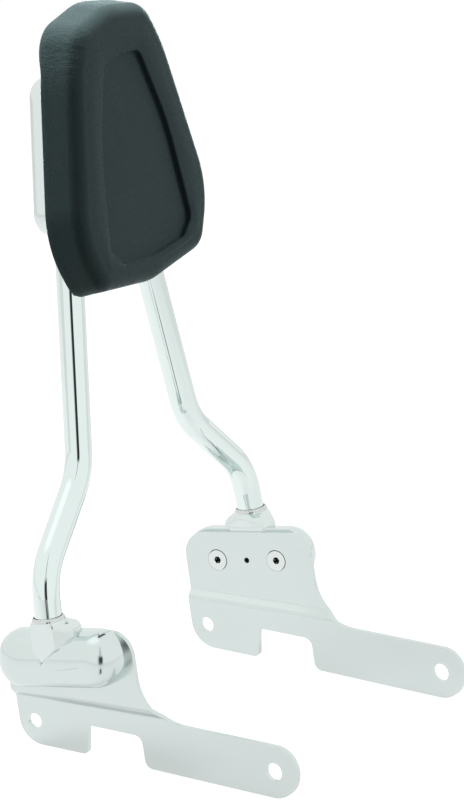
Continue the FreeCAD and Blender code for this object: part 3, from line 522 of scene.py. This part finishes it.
def chrome_material(name, marks, ripple, light, dark, low_rough, high_rough, wave, wave_scale):
    """Plated metal whose polish varies; wave is the height of its uneven sheen in metres."""
    material = fresh_material(name)
    tree = material.node_tree
    shader = principled(tree)
    shader.inputs["Metallic"].default_value = 1.0
    polish = placed_group(tree, marks)
    smear, hairline = polish.outputs["Smear"], polish.outputs["Hairline"]
    link(tree, mixed_colour(tree, smear, dark, light), shader.inputs["Base Color"])
    blend = plus(tree, times(tree, smear, SMEAR_SHARE), times(tree, hairline, HAIRLINE_SHARE))
    rough = scaled_range(tree, blend, *POLISH_RANGE, low_rough, high_rough)
    link(tree, rough, shader.inputs["Roughness"])
    waves = placed_group(tree, ripple, Ripple_Scale=wave_scale)
    link(tree, bumped(tree, waves.outputs["Height"], wave), shader.inputs["Normal"])
    return material


def paint_screw_shade(material):
    """Painted shade in the sockets of the foot screws, and a painted shadow arc in the gap beside
    their heads.
    """
    tree = material.node_tree
    shader = next(node for node in tree.nodes if node.type == "BSDF_PRINCIPLED")
    plated = shader.inputs["Base Color"].links[0].from_socket
    place = object_place(tree)
    shifted = add(tree, "ShaderNodeVectorMath", operation="SUBTRACT")
    link(tree, place, shifted.inputs[0])
    shifted.inputs[1].default_value = FOOT_MIDDLE
    from_foot = shifted.outputs[0]
    forward = along(tree, from_foot, (0, -math.cos(FOOT_LEAN), math.sin(FOOT_LEAN)))
    up = along(tree, from_foot, (0, math.sin(FOOT_LEAN), math.cos(FOOT_LEAN)))
    across = minus(tree, math_node(tree, "ABSOLUTE", forward), SCREW_HALF_SPACING)
    above = plus(tree, up, SCREW_DROP)
    squares = plus(tree, times(tree, across, across), times(tree, above, above))
    radius = math_node(tree, "SQRT", squares)
    socket = scaled_range(tree, radius, SOCKET_RADIUS, SOCKET_RADIUS + SOCKET_SOFT, 1.0, 0.0)
    # Painted shadow: a thin dark arc where the gap beside each countersunk head lies in shade
    inner = scaled_range(tree, radius, HEAD_RADIUS - ARC_OUTER, HEAD_RADIUS - ARC_INNER)
    outer = scaled_range(tree, radius, HEAD_RADIUS + ARC_INNER, HEAD_RADIUS + ARC_OUTER, 1.0, 0.0)
    centre = times(tree, math_node(tree, "SIGN", forward), SCREW_HALF_SPACING)
    turn = plus(tree, minus(tree, forward, centre), times(tree, above, ARC_TILT))
    arc = times(tree, times(tree, inner, outer), scaled_range(tree, turn, *ARC_ENDS))
    # Painted shade, mixed in over the plated tone at the sockets and the arcs
    black = mixed_colour(tree, noise_at(tree, place, 700.0), *SOCKET_SHADE_TONES)
    toned = mixed_colour(tree, larger(tree, socket, arc), plated, black)
    link(tree, toned, shader.inputs["Base Color"])


def leather_material(grain):
    """Moulded dark cover with fine pebbled grain, wrinkled at its upper right."""
    material = fresh_material("pad_cover")
    tree = material.node_tree
    shader = principled(tree)
    for label, value in LEATHER_GLOSS:
        shader.inputs[label].default_value = value
    texture = placed_group(tree, grain, Pebble_Scale=820.0, Cloud_Scale=16.0)
    crease = texture.outputs["Crease"]
    clouded = mixed_colour(tree, texture.outputs["Cloud"], *LEATHER_CLOUDS)
    link(tree, mixed_colour(tree, crease, LEATHER_CREASE, clouded), shader.inputs["Base Color"])
    rough = scaled_range(tree, crease, 0.0, 1.0, *LEATHER_ROUGHNESS)
    link(tree, rough, shader.inputs["Roughness"])
    place = object_place(tree)
    folds = noise_at(tree, stretched(tree, place, WRINKLES_SQUEEZE), WRINKLES_SCALE, 4.0, 0.65)
    above = scaled_range(tree, along(tree, place, (0, 0, 1)), *WRINKLES_UP, smooth=True)
    aside = scaled_range(tree, along(tree, place, (-1, 0, 0)), *WRINKLES_ASIDE, smooth=True)
    folds = times(tree, folds, times(tree, above, aside))
    relief = plus(tree, times(tree, texture.outputs["Height"], GRAIN_SHARE), folds)
    link(tree, bumped(tree, relief, LEATHER_RELIEF), shader.inputs["Normal"])
    return material


def plastic_material(grain):
    """Matt moulded board."""
    material = fresh_material("board_plastic")
    tree = material.node_tree
    shader = principled(tree)
    texture = placed_group(tree, grain, Pebble_Scale=2200.0, Cloud_Scale=30.0)
    cloud = texture.outputs["Cloud"]
    link(tree, mixed_colour(tree, cloud, *BOARD_CLOUDS), shader.inputs["Base Color"])
    rough = scaled_range(tree, cloud, *POLISH_RANGE, *BOARD_ROUGHNESS)
    link(tree, rough, shader.inputs["Roughness"])
    link(tree, bumped(tree, texture.outputs["Height"], BOARD_RELIEF), shader.inputs["Normal"])
    return material


def rounded_outline(whole, spacing):
    """Closed line through corners (across, up, radius)."""
    points = []
    for index, (x, z, radius) in enumerate(whole):
        here = Vector((x, z))
        before = (Vector(whole[index - 1][:2]) - here).normalized()
        after = (Vector(whole[(index + 1) % len(whole)][:2]) - here).normalized()
        half = before.angle(after) / 2
        reach = radius / math.tan(half)
        centre = here + (before + after).normalized() * (radius / math.sin(half))
        first = here + before * reach - centre
        turn = first.angle_signed(here + after * reach - centre)
        steps = max(4, int(abs(turn) * radius / spacing))
        for step in range(steps + 1):
            angle = -turn * step / steps
            spun = Vector((first.x * math.cos(angle) - first.y * math.sin(angle),
                           first.x * math.sin(angle) + first.y * math.cos(angle)))
            points.append(centre + spun)
    return points


def with_mirror(corners, top=(), bottom=()):
    """All corners of an outline from those of its +X half and those in the middle."""
    mirrored = [(-x, z, r) for x, z, r in reversed(corners)]
    return list(corners) + list(bottom) + mirrored + list(top)


def evenly_spaced(points, count):
    """Same closed line as a given number of points at equal steps."""
    lengths = [(points[(i + 1) % len(points)] - p).length for i, p in enumerate(points)]
    total = sum(lengths)
    spaced = []
    index = 0
    passed = 0.0
    for step in range(count):
        target = total * step / count
        while passed + lengths[index] < target:
            passed += lengths[index]
            index += 1
        share = (target - passed) / lengths[index] if lengths[index] else 0.0
        spaced.append(points[index].lerp(points[(index + 1) % len(points)], share))
    return spaced


def inset(points, distance):
    """Closed line moved towards its inside, by one distance or by one for each point."""
    middle = sum(points, Vector((0, 0))) / len(points)
    moved = []
    for i, point in enumerate(points):
        onward = (points[(i + 1) % len(points)] - points[i - 1]).normalized()
        inward = Vector((-onward.y, onward.x))
        if inward.dot(middle - point) < 0:
            inward = -inward
        step = distance if isinstance(distance, (int, float)) else distance[i]
        moved.append(point + inward * step)
    return moved


def towards(points, line, middle):
    """For each point, the place where its ray from the middle meets a closed line."""
    found = []
    for point in points:
        ray = (point - middle).normalized()
        best = None
        for i, start in enumerate(line):
            end = line[(i + 1) % len(line)]
            side = end - start
            across = ray.x * side.y - ray.y * side.x
            if abs(across) < 1e-12:
                continue
            gap = start - middle
            far = (gap.x * side.y - gap.y * side.x) / across
            share = (gap.x * ray.y - gap.y * ray.x) / across
            if far > 0 and -1e-6 <= share <= 1 + 1e-6:
                best = far if best is None else max(best, far)
        found.append(middle + ray * best)
    return found


def leaning_place(middle, lean, x, forward, up):
    """World place of a point in a frame that leans back."""
    return middle + Vector((
        x,
        -forward * math.cos(lean) + up * math.sin(lean),
        forward * math.sin(lean) + up * math.cos(lean),
    ))


def shaded_object(name, skin, material, crease):
    """Object from a closed skin, smooth but for edges sharper than the crease angle."""
    bmesh.ops.recalc_face_normals(skin, faces=skin.faces)
    mesh = bpy.data.meshes.new(name)
    skin.to_mesh(mesh)
    skin.free()
    for polygon in mesh.polygons:
        polygon.use_smooth = True
    mesh.set_sharp_from_angle(angle=crease)
    piece = bpy.data.objects.new(name, mesh)
    bpy.context.scene.collection.objects.link(piece)
    if material:
        piece.data.materials.append(material)
    return piece


def crest_share(up):
    """How far the cushion's back has swelled out at a height, from 0 to 1."""
    share = min(1.0, max(0.0, (up - CREST_RISE) / CREST_SLOPE))
    return share * share * (3 - 2 * share)


def back_depth(up):
    return PAD_BACK - CREST_BACK * crest_share(up)


def flat_ring(line, depth):
    """Ring (sideways, forward, up) of a line at one depth."""
    return [(p.x, depth, p.y) for p in line]


def between(first, second, share):
    """Line part of the way from one line to another, point by point."""
    return [a.lerp(b, share) for a, b in zip(first, second)]


def from_middle(line, share):
    """Line part of the way from the pad's middle to another."""
    return [PAD_SHARE_MIDDLE.lerp(p, share) for p in line]


def back_rings(rim):
    """Rings from the middle of the board's room out to the rounded back edge."""
    room = rounded_outline(with_mirror(ROOM_CORNERS), ROOM_SPACING)
    wall = towards(rim, room, PAD_SHARE_MIDDLE)
    below_crest = [Vector((p.x, min(p.y, CREST_RISE))) for p in room]
    mouth = towards(rim, below_crest, PAD_SHARE_MIDDLE)
    rings = [flat_ring(from_middle(wall, share), PAD_BACK + ROOM_DEPTH) for share in ROOM_SHARES]
    rings.append(flat_ring(wall, PAD_BACK - LIP_GAP / 2))
    rings.append(flat_ring(from_middle(mouth, MOUTH_SHARE), PAD_BACK - LIP_GAP))
    rounds = [PAD_BACK_ROUND + CREST_SOFTNESS * CREST_BACK * crest_share(p.y) for p in rim]
    edge = inset(rim, rounds)
    for share in BACK_SHARES:
        rings.append([(p.x, back_depth(p.y), p.y) for p in between(mouth, edge, share)])
    for step in range(BACK_ROUND_STEPS + 1):
        angle = math.pi / 2 * step / BACK_ROUND_STEPS
        moved = inset(rim, [r * (1 - math.sin(angle)) for r in rounds])
        rings.append([(p.x, back_depth(q.y) + r * (1 - math.cos(angle)), p.y)
                      for p, q, r in zip(moved, edge, rounds)])
    return rings


def front_rings(rim):
    """Rings along the drafted side, round the front edge and down into the panel."""
    front = PAD_BACK + PAD_THICK
    slope = math.tan(PAD_DRAFT)
    start = PAD_BACK + PAD_BACK_ROUND
    stop = front - PAD_FRONT_ROUND * (1 - math.sin(PAD_DRAFT))
    turned_in = PAD_FRONT_ROUND / math.cos(PAD_DRAFT) + (PAD_THICK - PAD_FRONT_ROUND) * slope
    rings = []
    for share in SIDE_SHARES:
        depth = start + (stop - start) * share
        rings.append(flat_ring(inset(rim, (depth - PAD_BACK) * slope), depth))
    for step in range(FRONT_ROUND_STEPS + 1):
        angle = PAD_DRAFT + (math.pi / 2 - PAD_DRAFT) * step / FRONT_ROUND_STEPS
        moved = inset(rim, turned_in - PAD_FRONT_ROUND * math.cos(angle))
        rings.append(flat_ring(moved, front - PAD_FRONT_ROUND * (1 - math.sin(angle))))
    border = inset(rim, turned_in)
    corners = with_mirror(PANEL_CORNERS, (PANEL_TOP,), (PANEL_BOTTOM,))
    panel = rounded_outline(corners, PANEL_SPACING)
    lip = towards(border, inset(panel, -PANEL_LIP), PAD_SHARE_MIDDLE)
    foot = towards(border, inset(panel, PANEL_FOOT), PAD_SHARE_MIDDLE)
    edge = towards(border, panel, PAD_SHARE_MIDDLE)
    for share in BORDER_SHARES:
        swell = PAD_CROWN * math.sin(math.pi * share)
        rings.append(flat_ring(between(border, lip, share), front + swell))
    for step in range(LIP_STEPS + 1):
        angle = math.pi / 2 * step / LIP_STEPS
        drop = PANEL_LIP * (1 - math.cos(angle))
        rings.append(flat_ring(between(lip, edge, math.sin(angle)), front - drop))
    floor = front - PANEL_DEPTH
    for share, lift in PANEL_WALL:
        rings.append(flat_ring(between(edge, foot, share), floor + PANEL_FOOT * lift))
    for share in PANEL_SHARES:
        crown = PAD_CROWN * (1 - share * share)
        rings.append(flat_ring(from_middle(foot, share), floor + crown))
    return rings


def make_pad(material):
    """Cushion as one closed skin: room for the board, rounded side, crowned front, sunk panel."""
    corners = with_mirror(PAD_CORNERS, (PAD_TOP,), (PAD_BOTTOM,))
    rim = evenly_spaced(rounded_outline(corners, PAD_SPACING), PAD_POINTS)
    rings = back_rings(rim) + front_rings(rim)
    places = [[leaning_place(PAD_MIDDLE, PAD_LEAN, *point) for point in ring] for ring in rings]
    return ringed_object("backrest_cushion", places, material, PAD_CREASE)


def cut_or_joined(piece, tool, operation):
    """The piece with a second closed shape cut out of it or joined to it."""
    change = piece.modifiers.new("shape", "BOOLEAN")
    change.operation = operation
    change.solver = "EXACT"
    change.object = tool
    ready = piece.evaluated_get(bpy.context.evaluated_depsgraph_get())
    mesh = bpy.data.meshes.new_from_object(ready)
    piece.modifiers.clear()
    piece.data = mesh
    bpy.data.objects.remove(tool)


def foot_point(side, out, forward, up):
    return leaning_place(FOOT_MIDDLE, FOOT_LEAN, side * out, forward, up)


def ringed_object(name, rings, material, crease):
    """Object from closed rings of world places, with both ends closed."""
    skin = bmesh.new()
    rows = [[skin.verts.new(place) for place in ring] for ring in rings]
    count = len(rows[0])
    for below, above in zip(rows, rows[1:]):
        for i in range(count):
            j = (i + 1) % count
            skin.faces.new((below[i], below[j], above[j], above[i]))
    for row in (rows[0], rows[-1]):
        hub = skin.verts.new(sum((v.co for v in row), Vector()) / count)
        for i in range(count):
            skin.faces.new((row[i], row[(i + 1) % count], hub))
    return shaded_object(name, skin, material, crease)


def prism(name, side, corners, start, stop):
    """Closed block between two distances outward, from (forward, up) corners."""
    rings = [[foot_point(side, out, *corner) for corner in corners] for out in (start, stop)]
    return ringed_object(name, rings, None, BLOCK_CREASE)


def round_bar(name, side, forward, up, radius):
    """Closed cylinder along X, long enough to cut through a foot."""
    turns = [2 * math.pi * i / BORE_SEGMENTS for i in range(BORE_SEGMENTS)]
    corners = [(forward + radius * math.cos(a), up + radius * math.sin(a)) for a in turns]
    return prism(name, side, corners, PLATE_FACE + BORE_START, PLATE_FACE + BORE_END)


def dome_rings(side, rim, wall, turns):
    """Rings of the cover's pillow from its rim to near its ridge, set in by a wall."""
    line = inset(rim, wall) if wall else rim
    rings = []
    for turn in turns:
        lift = math.sin(math.radians(turn))
        depth = COVER_STRAIGHT + (COVER_DEPTH - COVER_STRAIGHT - wall) * lift
        ring = []
        for point in line:
            ridge = Vector((max(-COVER_RIDGE, min(COVER_RIDGE, point.x)), COVER_RIDGE_UP))
            ahead, up = (point - ridge).normalized()
            front = max(0.0, ahead) ** 2
            power = COVER_END_POWER + (COVER_FRONT_POWER - COVER_END_POWER) * front
            power += (COVER_TOP_POWER - COVER_END_POWER) * max(0.0, up) ** 2
            power += (COVER_LOW_POWER - COVER_END_POWER) * max(0.0, -up) ** 2
            bulge = COVER_BULGE + (COVER_FRONT_BULGE - COVER_BULGE) * front
            share = (1 - lift ** bulge) ** (1 / power)
            place = ridge.lerp(point, share)
            ring.append(foot_point(side, PLATE_FACE + depth, place.x, place.y))
        rings.append(ring)
    return rings


def make_cover(name, side, material):
    """Thin pillow over the lug's tongue, with a pointed notch for the lug."""
    outline = rounded_outline(with_mirror(COVER_CORNERS), COVER_SPACING)
    rim = evenly_spaced(outline, COVER_POINTS)
    outer = dome_rings(side, rim, 0.0, COVER_TURNS)
    inner = dome_rings(side, rim, COVER_WALL, COVER_TURNS)
    feet = [[foot_point(side, PLATE_FACE, p.x, p.y) for p in line]
            for line in (inset(rim, COVER_WALL), rim)]
    cover = ringed_object(name, inner[::-1] + feet + outer, material, COVER_CREASE)
    front, rear = (NOTCH_FRONT, NOTCH_SHOULDER), (NOTCH_REAR, NOTCH_SHOULDER)
    raised = [(across, up + COVER_DEPTH) for across, up in (front, rear)]
    notch = prism("notch", side, [NOTCH_TIP, front, raised[0], raised[1], rear],
                  PLATE_FACE - COVER_WALL, PLATE_FACE + 2 * COVER_DEPTH)
    cut_or_joined(cover, notch, "DIFFERENCE")
    return cover


def along_edges(corners, points):
    """Points at equal steps on each edge of a closed polygon."""
    line = []
    for i, corner in enumerate(corners):
        start = Vector(corner)
        end = Vector(corners[(i + 1) % len(corners)])
        line.extend(start.lerp(end, k / points) for k in range(points))
    return line


def make_lug(name, side, material):
    """Faceted lug under the tube, pointed below, with the drilled tongue behind the cover."""
    facets = along_edges(LUG_CORNERS, LUG_EDGE_POINTS)
    tip = along_edges(LUG_TIP, LUG_EDGE_POINTS)
    middle = Vector((BEAD_SIDE, -BEAD_BACK))
    rings = []
    for height, radius, share in LUG_NECK:
        neck = [middle + (p - middle).normalized() * radius for p in facets]
        rings.append([(p, height) for p in between(neck, facets, share)])
    for height in LUG_HEIGHTS:
        rings.append([(p, height) for p in facets])
    rings.append([(p, LUG_TIP_UP) for p in tip])
    places = [[foot_point(side, p.x, p.y, height) for p, height in ring] for ring in rings]
    lug = ringed_object(name, places, material, LUG_CREASE)
    outline = rounded_outline(with_mirror(TONGUE_CORNERS), TONGUE_SPACING)
    shape = [(p.x, p.y) for p in outline]
    tongue = prism("tongue", side, shape, PLATE_FACE, PLATE_FACE + TONGUE_THICK)
    cut_or_joined(lug, tongue, "UNION")
    for forward, radius in (
        (SCREW_HALF_SPACING, SCREW_HOLE),
        (0.0, PIN_HOLE),
        (-SCREW_HALF_SPACING, SCREW_HOLE),
    ):
        bore = round_bar("bore", side, forward, -SCREW_DROP, radius)
        cut_or_joined(lug, bore, "DIFFERENCE")
    return lug


def make_weld(name, side, material):
    """Bead of overlapping ripples round the foot of the tube."""
    skin = bmesh.new()
    rows = []
    for segment in range(BEAD_SEGMENTS):
        around = 2 * math.pi * segment / BEAD_SEGMENTS
        section = [(BEAD_INNER, BEAD_FLOOR)]
        for step in range(BEAD_STEPS + 1):
            share = step / BEAD_STEPS
            lag = BEAD_SKEW * (share - 0.5) ** 2
            phase = (BEAD_RIPPLES * segment / BEAD_SEGMENTS + lag) % 1.0
            ripple = BEAD_RIPPLE * math.sin(math.pi * phase) ** BEAD_SHARPNESS
            angle = math.pi / 2 * share
            radius = BEAD_INNER + (BEAD_WIDTH + ripple) * math.cos(angle)
            height = BEAD_FLOOR + (BEAD_HEIGHT + ripple) * math.sin(angle)
            section.append((radius, height))
        row = []
        for radius, height in section:
            across = side * BEAD_SIDE + radius * math.cos(around)
            forward = -BEAD_BACK + radius * math.sin(around)
            place = leaning_place(FOOT_MIDDLE, FOOT_LEAN, across, forward, height)
            row.append(skin.verts.new(place))
        rows.append(row)
    count = len(rows[0])
    for i, row in enumerate(rows):
        other = rows[(i + 1) % len(rows)]
        for k in range(count):
            m = (k + 1) % count
            skin.faces.new((row[k], row[m], other[m], other[k]))
    return shaded_object(name, skin, material, BEAD_CREASE)


def make_camera():
    data = bpy.data.cameras.new("view")
    data.lens = CAMERA_LENS
    data.sensor_width = SENSOR
    data.clip_end = CAMERA_REACH
    camera = bpy.data.objects.new("view", data)
    bpy.context.scene.collection.objects.link(camera)
    back = CAMERA_BACK.normalized()
    right = (CAMERA_RIGHT - back * CAMERA_RIGHT.dot(back)).normalized()
    up = back.cross(right)
    turn = Matrix((right, up, back)).transposed().to_4x4()
    camera.matrix_world = Matrix.Translation(CAMERA_PLACE) @ turn
    bpy.context.scene.camera = camera


def gap_between(tree, place):
    """How far ahead a direction or a place on the floor is, and its masks of the dark gap."""
    flat = Vector((CAMERA_BACK.x, CAMERA_BACK.y, 0)).normalized()
    ahead = along(tree, place, flat)
    sideways = along(tree, place, CAMERA_RIGHT)
    slope = math_node(tree, "DIVIDE", sideways, larger(tree, ahead, LEAST_AHEAD))
    left = scaled_range(tree, slope, *GAP_LEFT, smooth=True)
    right = scaled_range(tree, slope, *GAP_RIGHT, 1.0, 0.0, smooth=True)
    thin_left = scaled_range(tree, slope, *GAP_THIN_LEFT, smooth=True)
    thin_right = scaled_range(tree, slope, *GAP_THIN_RIGHT, 1.0, 0.0, smooth=True)
    return ahead, times(tree, left, right), times(tree, thin_left, thin_right)


def seen_by(tree, camera, glossy):
    """Whether mirrors or glass look, and a value for the camera and for them, otherwise 0."""
    path = add(tree, "ShaderNodeLightPath")
    straight = times(tree, path.outputs["Is Camera Ray"], camera)
    bent = larger(tree, path.outputs["Is Glossy Ray"], path.outputs["Is Transmission Ray"])
    return bent, larger(tree, straight, times(tree, bent, glossy))


def make_floor(height):
    """Floor that keeps the object's shadow: dim paper that glows, with a dark gap painted on it
    that only mirrors see, a painted reflection.
    """
    mesh = bpy.data.meshes.new("studio_floor")
    half = FLOOR_HALF
    corners = [(-half, -half, 0), (half, -half, 0), (half, half, 0), (-half, half, 0)]
    mesh.from_pydata(corners, [], [(0, 1, 2, 3)])
    floor = bpy.data.objects.new("studio_floor", mesh)
    floor.location.z = height
    bpy.context.scene.collection.objects.link(floor)
    material = fresh_material("studio_paper")
    tree = material.node_tree
    out = add(tree, "ShaderNodeOutputMaterial")
    paper = add(tree, "ShaderNodeBsdfDiffuse")
    place = object_place(tree)
    fibre = noise_at(tree, place, 6.0, 3.0)
    link(tree, mixed_colour(tree, fibre, *PAPER_TONES), paper.inputs["Color"])
    glow = add(tree, "ShaderNodeEmission")
    glow.inputs["Color"].default_value = (1, 1, 1, 1)
    mirrored, strength = seen_by(tree, GLOW_FOR_CAMERA, GLOW_FOR_MIRRORS)
    link(tree, strength, glow.inputs["Strength"])
    both = add(tree, "ShaderNodeAddShader")
    link(tree, paper.outputs[0], both.inputs[0])
    link(tree, glow.outputs[0], both.inputs[1])
    # Painted reflection: for glossy rays only, the floor turns dark in a wedge towards the camera,
    # standing in for a dark gap of the studio
    ahead, gap, thin = gap_between(tree, place)
    near = scaled_range(tree, ahead, *GAP_NEAR, smooth=True)
    faint = scaled_range(tree, ahead, *GAP_FADE, 1.0, GAP_FAINT, smooth=True)
    far = scaled_range(tree, ahead, *GAP_FAR, smooth=True)
    near = times(tree, times(tree, near, faint), thin)
    dark = times(tree, mirrored, larger(tree, near, times(tree, far, gap)))
    shade = add(tree, "ShaderNodeEmission")
    shade.inputs["Color"].default_value = GAP_COLOUR
    choice = add(tree, "ShaderNodeMixShader")
    link(tree, dark, choice.inputs[0])
    link(tree, both.outputs[0], choice.inputs[1])
    link(tree, shade.outputs[0], choice.inputs[2])
    link(tree, choice.outputs[0], out.inputs["Surface"])
    floor.data.materials.append(material)


def make_world():
    """Even white surroundings, with the dark gap above the floor's."""
    world = bpy.data.worlds.new("studio")
    world.use_nodes = True
    bpy.context.scene.world = world
    tree = world.node_tree
    tree.nodes.clear()
    out = add(tree, "ShaderNodeOutputWorld")
    glow = add(tree, "ShaderNodeBackground")
    way = add(tree, "ShaderNodeTexCoord").outputs["Generated"]
    ahead, gap, thin = gap_between(tree, way)
    upward = along(tree, way, (0, 0, 1))
    rise = math_node(tree, "DIVIDE", upward, larger(tree, ahead, LEAST_AHEAD))
    low = scaled_range(tree, rise, *GAP_TOP, 1.0, 0.0, smooth=True)
    low = times(tree, low, scaled_range(tree, rise, *GAP_CLEAR, GAP_HORIZON, 1.0))
    high = scaled_range(tree, rise, *GAP_HIGH, GAP_HIGH_STRENGTH, 0.0, smooth=True)
    dark = larger(tree, times(tree, gap, low), times(tree, thin, high))
    dark = times(tree, dark, scaled_range(tree, ahead, *GAP_AHEAD))
    link(tree, mixed_colour(tree, dark, STUDIO_TONE, GAP_COLOUR), glow.inputs["Color"])
    strength = seen_by(tree, 1.0, 1.0)[1]
    from_camera = along(tree, way, CAMERA_BACK)
    soft = scaled_range(tree, from_camera, *SIDE_LIGHT_RANGE, SIDE_LIGHT, 0.0, smooth=True)
    upper = along(tree, way, SKY_WAY)
    sky = scaled_range(tree, upper, *SKY_RANGE, 1.0, 1.0 + SKY_EXTRA, smooth=True)
    link(tree, larger(tree, soft, times(tree, strength, sky)), glow.inputs["Strength"])
    link(tree, glow.outputs[0], out.inputs["Surface"])


def make_lamp(name, place, size, power):
    data = bpy.data.lights.new(name, "AREA")
    data.shape = "DISK"
    data.size = size
    data.energy = power
    lamp = bpy.data.objects.new(name, data)
    lamp.location = place
    lamp.rotation_euler = (place - PAD_MIDDLE).to_track_quat("Z", "Y").to_euler()
    lamp.visible_glossy = False
    bpy.context.scene.collection.objects.link(lamp)


def dress(node, material):
    for slot in node.material_slots:
        slot.material = material


def main():
    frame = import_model()
    nodes = frame["nodes"]
    cad_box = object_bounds()

    bpy.context.scene.view_settings.view_transform = "Standard"
    make_camera()
    make_floor(cad_box[0][2] - FLOOR_GAP)
    make_world()
    for name, place, size, power in LAMPS:
        make_lamp(name, Vector(place), size, power)

    marks = make_polish_marks()
    ripple = make_plated_ripple()
    grain = make_leather_grain()
    plated = {name: chrome_material(name, marks, ripple, *looks) for name, *looks in FINISHES}
    paint_screw_shade(plated["screw_steel"])
    leather = leather_material(grain)
    board = plastic_material(grain)

    for side in ("right", "left"):
        for node, finish in SIDE_FINISHES:
            dress(nodes[side + node], plated[finish])
    for node, finish in MIDDLE_FINISHES:
        dress(nodes[node], plated[finish])
    dress(nodes["pad_board"], board)

    for side, sign in (("right", -1), ("left", 1)):
        for piece, node in (
            (make_weld(side + "_weld_bead", sign, plated["weld_chrome"]), "_foot_weld"),
            (make_lug(side + "_lug_casting", sign, plated["cover_chrome"]), "_foot_lug"),
            (make_cover(side + "_cover_shell", sign, plated["foot_cover_chrome"]), "_foot_cover"),
        ):
            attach(piece, "root")
            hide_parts(side + node)
    cushion = make_pad(leather)
    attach(cushion, "root")
    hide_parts("pad_cushion")


main()
